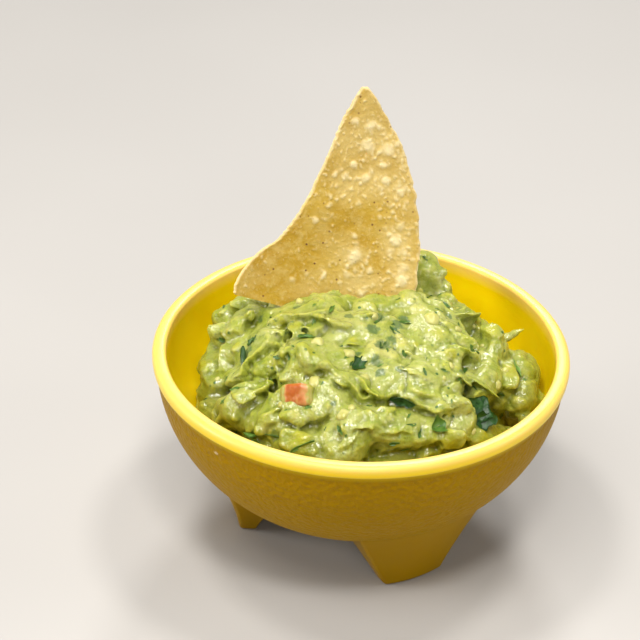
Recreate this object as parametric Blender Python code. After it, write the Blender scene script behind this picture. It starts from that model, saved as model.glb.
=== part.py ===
"""A small three-footed plastic salsa bowl heaped with chunky guacamole, with one tortilla chip
standing in the heap and a cube of tomato showing at its surface.

Frame: +Z up, z = 0 is the table under the three feet, the bowl's axis is the Z axis, and the chip
faces -Y. Lengths below are in millimetres, and MM turns them into Blender's metres.
"""

import math

import bmesh
import bpy
import numpy as np
from mathutils import Matrix, Vector

MM = 0.001
GAP = 0.3  # clearance between neighbouring solids, which touch on the real thing

# Bowl
RIM_RADIUS = 60.0
RIM_TOP = 60.0
RIM_WIDTH = 4.0  # of the bead, across its top
BEAD_HEIGHT = 3.6
BEAD_OUTER_ROUND = 1.6
BEAD_INNER_ROUND = 0.9
SHELL_LEVEL = 57.0  # height at which the two shell ellipses are widest
OUTER_RADIUS = 58.9
OUTER_DEPTH = 50.0
INNER_RADIUS = RIM_RADIUS - RIM_WIDTH
INNER_DEPTH = 46.5
BOWL_STEPS = 72  # facets round the bowl

# Feet: three tapered lugs, 120 degrees apart. Bearings run from -Y towards +X.
FEET = 3
FIRST_FOOT_BEARING = 31.0
FOOT_OUTER_RADIUS = 35.4  # at the table
FOOT_OUTER_FLARE = 8.4  # how much further out the outer face is where it meets the bowl
FOOT_INNER_RADIUS = 30.6
FOOT_INNER_FLARE = -3.0
FOOT_HALF_WIDTH = 10.9  # at the table
FOOT_SIDE_SLOPE = 0.52  # widening per height
FOOT_ROUND = 1.5
WALL_BITE = 1.5  # how far a foot's top reaches into the bowl's wall

# Chip: a warped triangle. Its outline is in the chip's own plane, x to the right and y up.
CHIP_THICKNESS = 1.7
CHIP_FOOT = (2.0, 15.0, 62.5)  # the outline's origin
CHIP_YAW = 12.0
CHIP_LEAN = 18.0
CHIP_TIP = (0.0, 66.6)
CHIP_TIP_HALF_WIDTH = 0.9
CHIP_SHOULDER = (-31.0, 21.8)
CHIP_LEFT = (-38.5, 9.3)
CHIP_BASE = (8.5, -10.5)
CHIP_LEFT_EDGE = ((-11.1, 52.3), (-17.0, 26.5))  # handles of the hollow edge, tip to shoulder
CHIP_CORNER = ((-35.5, 20.2), (-44.5, 9.6))  # handles of the round corner, shoulder to left
CHIP_RIGHT_EDGE = ((21.2, 36.1), (15.4, 9.6))  # handles of the bulging edge, tip to base
CHIP_CURL_ACROSS = 5.0
CHIP_CURL_ALONG = 2.6
CHIP_CURL_AXIS = (-9.0, 22.0)
CHIP_ROWS = 16
CHIP_CORNER_ROWS = 4
CHIP_COLUMNS = 8

# Guacamole: lumps on a dome, out to the bowl's wall. Positions are from the middle of the rim.
RIM_LEVEL = 58.5
DOME_CENTRE = (1.0, 1.0, -30.0)
DOME_RADII = (47.0, 47.0, 40.0)
FILL_LEVEL = -22.0  # where the guacamole between the lumps meets the wall
HEAP_STEPS = 75
HEAP_RINGS = 25
FLOOR_RINGS = 4
HEAP_EYE = (0.0, 0.0, -28.0)  # every point of the heap can be seen from here
RAY_SAMPLES = 260
RAY_REACH = 78.0

# name, centre x y z, half length, half width, half thickness, heading of the length, squareness
LUMPS = (
    ("upper_scoop", 8, -8, 5.0, 22, 13, 6.0, -10, 2.3),
    ("upper_lip_left", -9, -15, 6.5, 12, 8, 4.5, -38, 2.3),
    ("upper_lip_middle", 5, -19, 5.0, 11, 8, 4.5, -8, 2.3),
    ("upper_lip_right", 19, -18, 2.5, 10, 9, 5, 12, 2.4),
    ("upper_back_left", -6, -4, 8.5, 10, 8, 4.5, 0, 2.0),
    ("upper_back_right", 19, 3, 5.5, 13, 9, 5, -20, 2.2),
    ("upper_roll", 17, 6, 8.5, 9, 4.2, 3.2, -28, 2.2),
    ("crest_left", -21, 6, 6.5, 10, 6, 5, 15, 2.0),
    ("crest_leaf", -16, 1, 8.5, 11, 6.5, 3.2, 10, 2.3),
    ("crest_fold", -12, 8, 8.5, 8, 5, 5, -10, 2.0),
    ("crest_peak", 3, 9, 8.5, 7, 5, 5, 0, 2.0),
    ("crest_right", 12, 9, 7, 8, 5, 5, 10, 2.0),
    ("lower_scoop", -7, -28, 0.5, 10, 8, 5.5, 70, 2.2),
    ("lower_tongue", -3, -37, -5, 10, 7, 7, 82, 2.4),
    ("lower_middle", 10, -30, -2.5, 12, 9, 5.5, -6, 2.4),
    ("lower_right", 22, -28, -5, 10, 8, 6, 14, 2.4),
    ("bottom_ledge", 19, -35, -13, 15, 7, 5, 15, 2.2),
    ("bottom_bump", 8, -40, -12, 5, 4.5, 4.5, 0, 2.0),
    ("tomato_cup", -19, -29, -2.5, 8.5, 8, 5.0, -30, 2.2),
    ("tomato_top", -14, -22, 3.0, 10, 4.5, 4.0, -28, 2.2),
    ("left_fold_low", -29, -12, 0, 10, 6.5, 4.5, 12, 2.4),
    ("left_fold_high", -28, -5, 3, 9, 6, 4.5, 20, 2.3),
    ("left_arch", -33, 5, -0.5, 12, 8, 6.5, 55, 2.4),
    ("left_slab", -40, -1, -7.5, 12, 6.5, 4.5, 66, 2.6),
    ("left_slab_tip", -44, -8, -12.5, 6, 4, 2.8, 60, 2.2),
    ("block_low", -38, 19, -5, 5, 6, 7, 10, 3.2),
    ("block_high", -31, 21, 0, 8.5, 5.5, 6, 12, 3.2),
    ("front_left", -33, -21, -6.5, 8, 7, 6, 30, 2.6),
    ("front_left_wall", -41, -15, -16, 8, 7, 5, 60, 2.2),
    ("front_left_low", -25, -28, -8, 7, 6, 5, 0, 2.2),
    ("bottom_left", -27, -34, -14, 8, 6, 5, -40, 2.2),
    ("bottom_left_leaf", -23, -34, -9, 8, 3.5, 2.5, 18, 2.2),
    ("bottom_left_mid", -15, -36, -8.5, 9, 7, 6, -10, 2.2),
    ("bottom_left_low", -9, -41, -13, 8, 6, 6, 0, 2.0),
    ("right_ridge", 36, 7, -4, 9, 5.5, 7, 80, 2.4),
    ("right_ridge_front", 33, -10, -4.5, 10, 5.5, 7, 62, 2.4),
    ("right_ridge_out", 39, -3, -9, 7, 5, 6, 80, 2.2),
    ("far_right", 45, 6, -10, 8, 6, 6, 80, 2.6),
    ("far_right_wall", 48, -4, -12.5, 6, 5.5, 4.5, 70, 2.4),
    ("far_right_low", 42, -14, -19, 7, 6, 4, 60, 2.2),
    ("back_shoulder", 25, 14, 2, 9, 8, 5.5, 30, 2.2),
    ("back_shoulder_out", 33, 15, -4, 7, 7, 6, 30, 2.2),
    ("back_blob_near", 17, 28, 3.5, 5.5, 5, 5.5, 0, 2.1),
    ("back_blob_out", 24, 29, 4.5, 5, 4.5, 6, 0, 2.2),
    ("back_blob_far", 18, 34, 8, 5, 5, 5, 0, 2.0),
    ("low_right", 34, -25, -13, 8, 7, 6, 30, 2.4),
    ("low_right_out", 40, -17, -15, 7, 6, 5.5, 50, 2.2),
)
# The lumps behind the chip follow a rule: rings of them, alternately larger and smaller.
BACK_RINGS = ((39.0, -9.0, 8, 8.5), (26.0, 1.5, 6, 7.5))  # distance out, height, count, size
BACK_BEARINGS = (150.0, 262.0)  # the stretch of the bowl behind the chip
BACK_SIZE_SWING = 1.3

# Tomato cube
TOMATO_CENTRE = (-16.6, -27.5, 2.2)
TOMATO_SIDES = (8.0, 7.0, 6.5)
TOMATO_TURN = (-38.0, -12.0, -14.0)
TOMATO_ROUND = 1.3

YELLOW_PLASTIC = ((0.83, 0.56, 0.012), 0.42)
AVOCADO_GREEN = ((0.42, 0.50, 0.10), 0.38)
CORN_CHIP = ((0.72, 0.55, 0.26), 0.62)
TOMATO_RED = ((0.62, 0.12, 0.04), 0.30)


def clear_scene():
    for obj in list(bpy.data.objects):
        bpy.data.objects.remove(obj, do_unlink=True)


def make_material(name, colour_and_roughness):
    colour, roughness = colour_and_roughness
    material = bpy.data.materials.new(name)
    material.use_nodes = True
    shader = material.node_tree.nodes["Principled BSDF"]
    shader.inputs["Base Color"].default_value = (*colour, 1.0)
    shader.inputs["Roughness"].default_value = roughness
    shader.inputs["Metallic"].default_value = 0.0
    return material


def add_object(name, points, faces, material, smooth_angle=40.0):
    """A mesh object from points in millimetres."""
    mesh = bpy.data.meshes.new(name)
    mesh.from_pydata([tuple(MM * c for c in p) for p in points], [], faces)
    mesh.validate()
    tidy = bmesh.new()
    tidy.from_mesh(mesh)
    bmesh.ops.recalc_face_normals(tidy, faces=tidy.faces)
    tidy.to_mesh(mesh)
    tidy.free()
    mesh.shade_smooth()
    mesh.set_sharp_from_angle(angle=math.radians(smooth_angle))
    mesh.materials.append(material)
    obj = bpy.data.objects.new(name, mesh)
    bpy.context.scene.collection.objects.link(obj)
    return obj


def as_cutter(obj):
    obj.hide_render = True
    obj.display_type = "WIRE"
    return obj


def add_boolean(obj, other, operation):
    modifier = obj.modifiers.new(f"{operation.lower()}_{other.name}", "BOOLEAN")
    modifier.operation = operation
    modifier.solver = "EXACT"
    modifier.object = other


def add_bevel(obj, width, segments):
    bevel = obj.modifiers.new("round", "BEVEL")
    bevel.width = width * MM
    bevel.segments = segments
    bevel.limit_method = "ANGLE"
    bevel.angle_limit = math.radians(35.0)


# ---------------------------------------------------------------- bowl


def arc(centre, radius, start, end, count):
    """Points of an arc in the (r, z) plane, angles in degrees from +r towards +z."""
    angles = [math.radians(start + (end - start) * k / count) for k in range(count + 1)]
    return [(centre[0] + radius * math.cos(a), centre[1] + radius * math.sin(a)) for a in angles]


def shell_point(radius, depth, angle):
    """A point of one of the shell's ellipses. The angle is 0 at the rim and 90 at the bottom."""
    a = math.radians(angle)
    return (radius * math.cos(a), SHELL_LEVEL - depth * math.sin(a))


def outer_wall_height(r):
    return SHELL_LEVEL - OUTER_DEPTH * math.sqrt(1.0 - (r / OUTER_RADIUS) ** 2)


def bowl_profile():
    """Closed outline of the wall, from the middle of the floor, up the inside, over the bead and
    down the outside to the middle of the underside."""
    inside = [shell_point(INNER_RADIUS, INNER_DEPTH, a) for a in (90, 76, 62, 49, 37, 26, 16, 7)]
    inner_corner = (INNER_RADIUS + BEAD_INNER_ROUND, RIM_TOP - BEAD_INNER_ROUND)
    outer_corner = (RIM_RADIUS - BEAD_OUTER_ROUND, RIM_TOP - BEAD_OUTER_ROUND)
    bead = arc(inner_corner, BEAD_INNER_ROUND, 180, 90, 2)
    bead += arc(outer_corner, BEAD_OUTER_ROUND, 90, 0, 3)
    bead_foot = RIM_TOP - BEAD_HEIGHT
    bead.append((RIM_RADIUS, bead_foot + 0.7))
    bead.append((RIM_RADIUS - 0.4, bead_foot + 0.1))
    outside = [shell_point(OUTER_RADIUS, OUTER_DEPTH, a) for a in (3, 11, 20, 29, 38, 48, 59, 73, 90)]
    return inside + bead + outside


def turned_mesh(profile, steps):
    """Points and faces of a profile turned round Z. Its first and last points are on the axis."""
    points = [(0.0, 0.0, profile[0][1]), (0.0, 0.0, profile[-1][1])]
    rings = profile[1:-1]
    for k in range(steps):
        a = 2.0 * math.pi * k / steps
        points += [(r * math.cos(a), r * math.sin(a), z) for r, z in rings]
    faces = []
    per = len(rings)
    for k in range(steps):
        here = 2 + k * per
        there = 2 + (k + 1) % steps * per
        faces.append((0, here, there))
        faces += [(here + j, here + j + 1, there + j + 1, there + j) for j in range(per - 1)]
        faces.append((1, there + per - 1, here + per - 1))
    return points, faces


def foot_mesh(bearing):
    """One lug: a grid over its outer and inner faces, closed round the edge."""
    levels, columns = 4, 5
    turn = math.radians(bearing)

    def surface(face_radius, flare):
        top_radius = face_radius + flare
        top = outer_wall_height(top_radius) + WALL_BITE
        rows = []
        for j in range(levels + 1):
            up = j / levels
            # the outer face stands nearly upright at the table and leans out further up
            radius = face_radius + flare * up**1.3
            half = FOOT_HALF_WIDTH + FOOT_SIDE_SLOPE * top * up
            row = []
            for i in range(columns + 1):
                a = turn + math.asin(half * (2.0 * i / columns - 1.0) / radius)
                row.append((radius * math.sin(a), -radius * math.cos(a), top * up))
            rows.append(row)
        return rows

    outer = surface(FOOT_OUTER_RADIUS, FOOT_OUTER_FLARE)
    inner = surface(FOOT_INNER_RADIUS, FOOT_INNER_FLARE)
    points = [p for row in outer for p in row] + [p for row in inner for p in row]
    across = columns + 1
    shift = across * (levels + 1)
    faces = []
    for j in range(levels):
        for i in range(columns):
            a = j * across + i
            b = a + across
            faces.append((a, a + 1, b + 1, b))
            faces.append((a + shift, b + shift, b + 1 + shift, a + 1 + shift))
    for j in range(levels):
        for i in (0, columns):
            a = j * across + i
            b = a + across
            faces.append((a, b, b + shift, a + shift))
    for j in (0, levels):
        for i in range(columns):
            a = j * across + i
            faces.append((a, a + 1, a + 1 + shift, a + shift))
    return points, faces


def build_bowl(material):
    bowl = add_object("bowl", *turned_mesh(bowl_profile(), BOWL_STEPS), material, 30.0)
    for k in range(FEET):
        bearing = FIRST_FOOT_BEARING + 360.0 / FEET * k
        foot = as_cutter(add_object(f"foot_{k}", *foot_mesh(bearing), material))
        add_bevel(foot, FOOT_ROUND, 2)
        add_boolean(bowl, foot, "UNION")
    return bowl


# ---------------------------------------------------------------- chip


def bezier(start, handles, end, t):
    first, second = handles
    return tuple(
        (1 - t) ** 3 * a + 3 * (1 - t) ** 2 * t * b + 3 * (1 - t) * t**2 * c + t**3 * d
        for a, b, c, d in zip(start, first, second, end)
    )


def chip_axes():
    yaw, lean = math.radians(CHIP_YAW), math.radians(CHIP_LEAN)
    across = Vector((math.cos(yaw), math.sin(yaw), 0.0))
    away = Vector((-math.sin(yaw), math.cos(yaw), 0.0))
    up = Vector((0.0, 0.0, math.cos(lean))) + away * math.sin(lean)
    return across, up


def chip_point(x, y):
    """A point of the chip's middle surface, from its flat outline, with the curl that frying gave it."""
    across, up = chip_axes()
    towards = across.cross(up).normalized()
    curl = CHIP_CURL_ACROSS * ((x - CHIP_CURL_AXIS[0]) / 28.0) ** 2
    curl += CHIP_CURL_ALONG * ((y - CHIP_CURL_AXIS[1]) / 44.0) ** 2
    return Vector(CHIP_FOOT) + across * x + up * y + towards * curl


def chip_mesh(thickness):
    """The chip as two skins, thickness apart, joined round the edge."""
    tip_left = (CHIP_TIP[0] - CHIP_TIP_HALF_WIDTH, CHIP_TIP[1])
    tip_right = (CHIP_TIP[0] + CHIP_TIP_HALF_WIDTH, CHIP_TIP[1])
    straight_rows = CHIP_ROWS - CHIP_CORNER_ROWS
    middle = []
    for j in range(CHIP_ROWS + 1):
        if j <= straight_rows:
            left = bezier(tip_left, CHIP_LEFT_EDGE, CHIP_SHOULDER, j / straight_rows)
        else:
            round_corner = (j - straight_rows) / CHIP_CORNER_ROWS
            left = bezier(CHIP_SHOULDER, CHIP_CORNER, CHIP_LEFT, round_corner)
        right = bezier(tip_right, CHIP_RIGHT_EDGE, CHIP_BASE, j / CHIP_ROWS)
        for i in range(CHIP_COLUMNS + 1):
            s = i / CHIP_COLUMNS
            middle.append((left[0] * (1 - s) + right[0] * s, left[1] * (1 - s) + right[1] * s))
    towards = chip_axes()[0].cross(chip_axes()[1]).normalized()
    front = [chip_point(x, y) + towards * thickness / 2 for x, y in middle]
    back = [chip_point(x, y) - towards * thickness / 2 for x, y in middle]
    per = CHIP_COLUMNS + 1
    count = len(middle)
    faces = []
    for j in range(CHIP_ROWS):
        for i in range(CHIP_COLUMNS):
            a = j * per + i
            faces.append((a, a + per, a + per + 1, a + 1))
            faces.append((a + count, a + 1 + count, a + per + 1 + count, a + per + count))
    edge = [i for i in range(per)]
    edge += [j * per + CHIP_COLUMNS for j in range(1, CHIP_ROWS + 1)]
    edge += [CHIP_ROWS * per + i for i in range(CHIP_COLUMNS - 1, -1, -1)]
    edge += [j * per for j in range(CHIP_ROWS - 1, 0, -1)]
    for a, b in zip(edge, edge[1:] + edge[:1]):
        faces.append((a, b, b + count, a + count))
    return front + back, faces


def grown_chip():
    """The room that the chip takes in the guacamole: the chip, larger all round by the gap."""
    points, faces = chip_mesh(CHIP_THICKNESS + 2.0 * GAP)
    middle = sum(points, Vector()) / len(points)
    across, up = chip_axes()
    grown = []
    for p in points:
        from_middle = p - middle
        side = from_middle.dot(across)
        height = from_middle.dot(up)
        grown.append(p + across * GAP * 2.0 * side / 20.0 + up * GAP * 2.0 * height / 20.0)
    return grown, faces


# ---------------------------------------------------------------- guacamole


def back_lumps():
    """The lumps behind the chip, in rings."""
    found = []
    start, end = BACK_BEARINGS
    for reach, height, count, size in BACK_RINGS:
        for k in range(count):
            bearing = math.radians(start + (end - start) * (k + 0.5) / count)
            swing = BACK_SIZE_SWING * math.sin(2.4 * k + reach)
            x, y = reach * math.sin(bearing), -reach * math.cos(bearing)
            heading = 40.0 * math.sin(1.7 * k)
            found.append((x, y, height + swing, size + swing, size - 1.0, size - swing - 1.0, heading, 2.2))
    return found


def lump_frame(centre, heading):
    """Axes of a lump that lies on the dome: along its heading, across it, and out of the heap."""
    out = (np.array(centre) - np.array(DOME_CENTRE)) / np.array(DOME_RADII) ** 2
    out /= np.linalg.norm(out)
    turn = math.radians(heading)
    along = np.array((math.cos(turn), math.sin(turn), 0.0))
    along -= out * (along @ out)
    along /= np.linalg.norm(along)
    return np.array((along, np.cross(out, along), out))


def reach_of_lump(rays, ts, lump):
    """How far out along each ray the lump reaches, or 0 where the ray misses it."""
    x, y, z, length, width, thickness, heading, squareness = lump
    axes = lump_frame((x, y, z), heading)
    samples = np.array(HEAP_EYE) + rays[:, None, :] * ts[None, :, None] - np.array((x, y, z))
    local = np.abs(samples @ axes.T) / np.array((length, width, thickness))
    inside = (local**squareness).sum(axis=2) < 1.0
    last = np.where(inside.any(axis=1), inside.shape[1] - 1 - inside[:, ::-1].argmax(axis=1), 0)
    return np.where(inside.any(axis=1), ts[last], 0.0)


def ellipsoid_exit(rays, centre, radii):
    """Distance from the eye, along each ray, to where it leaves an ellipsoid that holds the eye."""
    eye = (np.array(HEAP_EYE) - np.array(centre)) / np.array(radii)
    d = rays / np.array(radii)
    a, b, c = (d * d).sum(axis=1), d @ eye, eye @ eye - 1.0
    return (-b + np.sqrt(b * b - a * c)) / a


def heap_reach(rays):
    """Distance from the eye to the guacamole's surface: the furthest lump, dome or fill level, but
    no further than the gap before the bowl's wall."""
    reach = ellipsoid_exit(rays, DOME_CENTRE, DOME_RADII)
    ts = np.linspace(0.0, RAY_REACH, RAY_SAMPLES)
    for lump in [row[1:] for row in LUMPS] + back_lumps():
        reach = np.maximum(reach, reach_of_lump(rays, ts, lump))
    below = rays[:, 2] < 0.0
    rise = np.where(below, 1.0, np.maximum(rays[:, 2], 1e-6))
    to_level = np.where(below, 2.0 * RAY_REACH, (FILL_LEVEL - HEAP_EYE[2]) / rise)
    reach = np.maximum(reach, np.minimum(to_level, 2.0 * RAY_REACH))
    wall_centre = (0.0, 0.0, SHELL_LEVEL - RIM_LEVEL)
    across = INNER_RADIUS - 2 * GAP
    wall = ellipsoid_exit(rays, wall_centre, (across, across, INNER_DEPTH - 2 * GAP))
    return np.where(rays[:, 2] < 0.75, np.minimum(reach, wall), reach)


def heap_mesh():
    """The heap seen from its eye: rings of rays from straight down to straight up."""
    floor = [-90.0 + 68.0 * (k + 1) / (FLOOR_RINGS + 1) for k in range(FLOOR_RINGS)]
    first = -22.0
    top = [first + (90.0 - first) * k / HEAP_RINGS for k in range(HEAP_RINGS)]
    rings = [math.radians(e) for e in floor + top]
    rays = []
    for e in rings:
        for k in range(HEAP_STEPS):
            a = 2.0 * math.pi * k / HEAP_STEPS
            rays.append((math.cos(e) * math.cos(a), math.cos(e) * math.sin(a), math.sin(e)))
    rays += [(0.0, 0.0, -1.0), (0.0, 0.0, 1.0)]
    rays = np.array(rays)
    reach = heap_reach(rays)
    grid = reach[:-2].reshape(len(rings), HEAP_STEPS)
    beside = (np.roll(grid, 1, axis=1) + np.roll(grid, -1, axis=1)) / 2.0
    above_below = (grid[:-2] + grid[2:]) / 2.0
    inner = slice(FLOOR_RINGS + 1, -1)
    softened = grid[1:-1] * 0.7 + beside[1:-1] * 0.15 + above_below * 0.15
    grid[inner] = softened[FLOOR_RINGS:]
    points = np.array(HEAP_EYE) + rays * reach[:, None]
    points[:, 2] += RIM_LEVEL
    faces = []
    for j in range(len(rings) - 1):
        for k in range(HEAP_STEPS):
            a = j * HEAP_STEPS + k
            b = j * HEAP_STEPS + (k + 1) % HEAP_STEPS
            faces.append((a, b, b + HEAP_STEPS, a + HEAP_STEPS))
    bottom, summit = len(points) - 2, len(points) - 1
    last = (len(rings) - 1) * HEAP_STEPS
    for k in range(HEAP_STEPS):
        after = (k + 1) % HEAP_STEPS
        faces.append((bottom, after, k))
        faces.append((summit, last + k, last + after))
    return points.tolist(), faces


def tomato_object(name, grow, material):
    """The cube of tomato, larger by grow on every side."""
    cube = bmesh.new()
    bmesh.ops.create_cube(cube, size=1.0)
    sides = Vector(TOMATO_SIDES) + Vector((2.0 * grow,) * 3)
    bmesh.ops.scale(cube, vec=sides * MM, verts=cube.verts)
    bmesh.ops.bevel(
        cube,
        geom=cube.edges[:],
        offset=TOMATO_ROUND * MM,
        segments=2,
        profile=0.5,
        affect="EDGES",
    )
    mesh = bpy.data.meshes.new(name)
    cube.to_mesh(mesh)
    cube.free()
    mesh.shade_smooth()
    mesh.materials.append(material)
    obj = bpy.data.objects.new(name, mesh)
    bpy.context.scene.collection.objects.link(obj)
    obj.location = Vector((TOMATO_CENTRE[0], TOMATO_CENTRE[1], TOMATO_CENTRE[2] + RIM_LEVEL)) * MM
    obj.rotation_euler = [math.radians(a) for a in TOMATO_TURN]
    return obj


def build_guacamole(material, chip_room, tomato_room):
    heap = add_object("guacamole", *heap_mesh(), material, 60.0)
    add_boolean(heap, chip_room, "DIFFERENCE")
    add_boolean(heap, tomato_room, "DIFFERENCE")
    return heap


def main():
    clear_scene()
    plastic = make_material("yellow_plastic", YELLOW_PLASTIC)
    green = make_material("avocado_mash", AVOCADO_GREEN)
    corn = make_material("fried_corn", CORN_CHIP)
    red = make_material("tomato_flesh", TOMATO_RED)
    build_bowl(plastic)
    add_object("tortilla_chip", *chip_mesh(CHIP_THICKNESS), corn, 50.0)
    tomato_object("tomato_cube", 0.0, red)
    chip_room = as_cutter(add_object("chip_room", *grown_chip(), corn))
    tomato_room = as_cutter(tomato_object("tomato_room", GAP, red))
    build_guacamole(green, chip_room, tomato_room)


main()
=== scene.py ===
# %% [markdown]
# # Guacamole in a footed bowl
# A small yellow plastic bowl on three feet is heaped with chunky guacamole. A triangular tortilla
# chip stands in the back of the heap, and a cube of tomato shows at the front left.
#
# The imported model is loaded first. It gives the true sizes, and it stays fixed: each piece made
# below stands in front of one of its nodes, in the same place, with the detail that a plain solid
# leaves out.

# %% Load the frame
import math

import bmesh
import bpy
import numpy as np
from mathutils import Matrix, Vector
from mathutils.bvhtree import BVHTree


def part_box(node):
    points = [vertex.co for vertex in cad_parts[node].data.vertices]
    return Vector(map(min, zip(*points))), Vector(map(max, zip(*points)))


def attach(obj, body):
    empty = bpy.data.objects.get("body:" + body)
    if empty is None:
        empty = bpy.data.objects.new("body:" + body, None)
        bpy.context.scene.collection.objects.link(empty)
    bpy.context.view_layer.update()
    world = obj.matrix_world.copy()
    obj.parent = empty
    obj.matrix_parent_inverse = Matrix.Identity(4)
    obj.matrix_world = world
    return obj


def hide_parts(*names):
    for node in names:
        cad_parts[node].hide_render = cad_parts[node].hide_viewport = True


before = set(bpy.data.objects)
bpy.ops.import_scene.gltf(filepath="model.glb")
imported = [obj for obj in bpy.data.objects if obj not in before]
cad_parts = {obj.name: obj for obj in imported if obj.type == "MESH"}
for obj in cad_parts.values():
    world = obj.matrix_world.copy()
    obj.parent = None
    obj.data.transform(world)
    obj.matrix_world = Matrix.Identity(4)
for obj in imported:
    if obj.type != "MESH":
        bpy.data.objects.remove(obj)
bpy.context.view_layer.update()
MM = 0.001
bowl_low, bowl_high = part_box("bowl")
RIM_RADIUS = (bowl_high[0] - bowl_low[0]) / 2 / MM
RIM_TOP = bowl_high[2] / MM
RIM_LEVEL = RIM_TOP - 1.5
print("rim radius and height, mm:", round(RIM_RADIUS, 2), round(RIM_TOP, 2))

# %% [markdown]
# ## Small tools
# Points are worked out in millimetres with numpy, because a heap of food needs hundreds of
# thousands of them. One function turns such points into a mesh object. Another gives smooth random
# values in space, which is what makes each lump different: it mixes the values at the corners of a
# lattice, so close points get close values.

# %% Mesh and noise helpers
def make_object(name, points, faces, material, attributes=None, smooth=True):
    """An object from points in mm. attributes maps a name to one value per point."""
    mesh = bpy.data.meshes.new(name)
    mesh.from_pydata((np.asarray(points, dtype=float) * MM).tolist(), [], faces)
    for label, values in (attributes or {}).items():
        layer = mesh.attributes.new(label, "FLOAT", "POINT")
        layer.data.foreach_set("value", np.asarray(values, dtype=np.float32))
    if smooth:
        mesh.shade_smooth()
    if material:
        mesh.materials.append(material)
    obj = bpy.data.objects.new(name, mesh)
    bpy.context.scene.collection.objects.link(obj)
    return obj


def mesh_points(mesh):
    flat = np.empty(len(mesh.vertices) * 3)
    mesh.vertices.foreach_get("co", flat)
    return flat.reshape(-1, 3) / MM


def point_normals(mesh):
    flat = np.empty(len(mesh.vertices) * 3)
    mesh.vertex_normals.foreach_get("vector", flat)
    return flat.reshape(-1, 3)


def set_points(mesh, points):
    mesh.vertices.foreach_set("co", (points * MM).ravel())
    mesh.update()


LATTICE = np.random.default_rng(11).random((32, 32, 32)) * 2.0 - 1.0


def noise(points, wavelength, seed=0):
    """Smooth values from about -1 to 1, for points in mm."""
    p = points / wavelength + seed * 7.31
    cell = np.floor(p).astype(int)
    t = p - cell
    t = t * t * (3.0 - 2.0 * t)
    value = np.zeros(len(points))
    for dx in (0, 1):
        for dy in (0, 1):
            for dz in (0, 1):
                weight = np.abs(1 - dx - t[:, 0]) * np.abs(1 - dy - t[:, 1]) * np.abs(1 - dz - t[:, 2])
                corner = (cell + (dx, dy, dz)) % 32
                value += weight * LATTICE[corner[:, 0], corner[:, 1], corner[:, 2]]
    return value


def fractal(points, wavelength, seed=0, octaves=3, fade=0.5):
    total = sum(noise(points, wavelength / 2**k, seed + k) * fade**k for k in range(octaves))
    return total / sum(fade**k for k in range(octaves))


print("helpers ready")

# %% [markdown]
# Materials are node trees. A small helper adds a node and sets or links its inputs by name, so that
# each material below reads as a list of steps.

# %% Material helpers
def new_material(name):
    material = bpy.data.materials.new(name)
    material.use_nodes = True
    tree = material.node_tree
    return material, tree, tree.nodes["Principled BSDF"]


def node(tree, kind, inputs=None, **settings):
    """A new node. An input is a value, or another node's output socket to link from."""
    made = tree.nodes.new(kind)
    for key, value in settings.items():
        setattr(made, key, value)
    for key, value in (inputs or {}).items():
        socket = made.inputs[key]
        if isinstance(value, bpy.types.NodeSocket):
            tree.links.new(value, socket)
        else:
            socket.default_value = value
    return made


def connect(tree, source, shader, name):
    tree.links.new(source, shader.inputs[name])


def attribute(tree, name):
    return node(tree, "ShaderNodeAttribute", attribute_name=name).outputs["Fac"]


def mapped(tree, value, low, high, to_low=0.0, to_high=1.0):
    """The value's stretch from low to high, spread over to_low to to_high."""
    return node(
        tree,
        "ShaderNodeMapRange",
        {"Value": value, "From Min": low, "From Max": high, "To Min": to_low, "To Max": to_high},
    ).outputs["Result"]


def mixed(tree, factor, first, second):
    made = node(tree, "ShaderNodeMix", data_type="RGBA")
    for key, value in ((0, factor), (6, first), (7, second)):
        if isinstance(value, bpy.types.NodeSocket):
            tree.links.new(value, made.inputs[key])
        else:
            made.inputs[key].default_value = value
    return made.outputs[2]


def math_node(tree, operation, first, second=0.0):
    return node(tree, "ShaderNodeMath", {0: first, 1: second}, operation=operation).outputs[0]


def noise_node(tree, vector, scale, detail=2.0, roughness=0.5):
    return node(
        tree,
        "ShaderNodeTexNoise",
        {"Vector": vector, "Scale": scale, "Detail": detail, "Roughness": roughness},
    ).outputs["Fac"]


def object_place(tree):
    return node(tree, "ShaderNodeTexCoord").outputs["Object"]


def bump(tree, height, distance, strength=1.0, normal=None):
    inputs = {"Height": height, "Distance": distance, "Strength": strength}
    if normal is not None:
        inputs["Normal"] = normal
    return node(tree, "ShaderNodeBump", inputs).outputs["Normal"]


print("material helpers ready")

# %% [markdown]
# Hardly any surface here has one even colour: plastic clouds a little, mash and fried corn are
# mottled, a leaf is veined. That is one effect, two colours mixed by noise, so it is made once, as a
# node group with named inputs. It could be copied into each material instead, but a group keeps
# each material short, and a change to it reaches all of them.

# %% The mottle group
MOTTLE_INPUTS = (
    ("Vector", "NodeSocketVector", None),
    ("Scale", "NodeSocketFloat", 100.0),
    ("Detail", "NodeSocketFloat", 2.0),
    ("Breakup", "NodeSocketFloat", 0.5),
    ("Low", "NodeSocketFloat", 0.35),
    ("High", "NodeSocketFloat", 0.65),
    ("First", "NodeSocketColor", (0.2, 0.2, 0.2, 1.0)),
    ("Second", "NodeSocketColor", (0.8, 0.8, 0.8, 1.0)),
)


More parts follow.
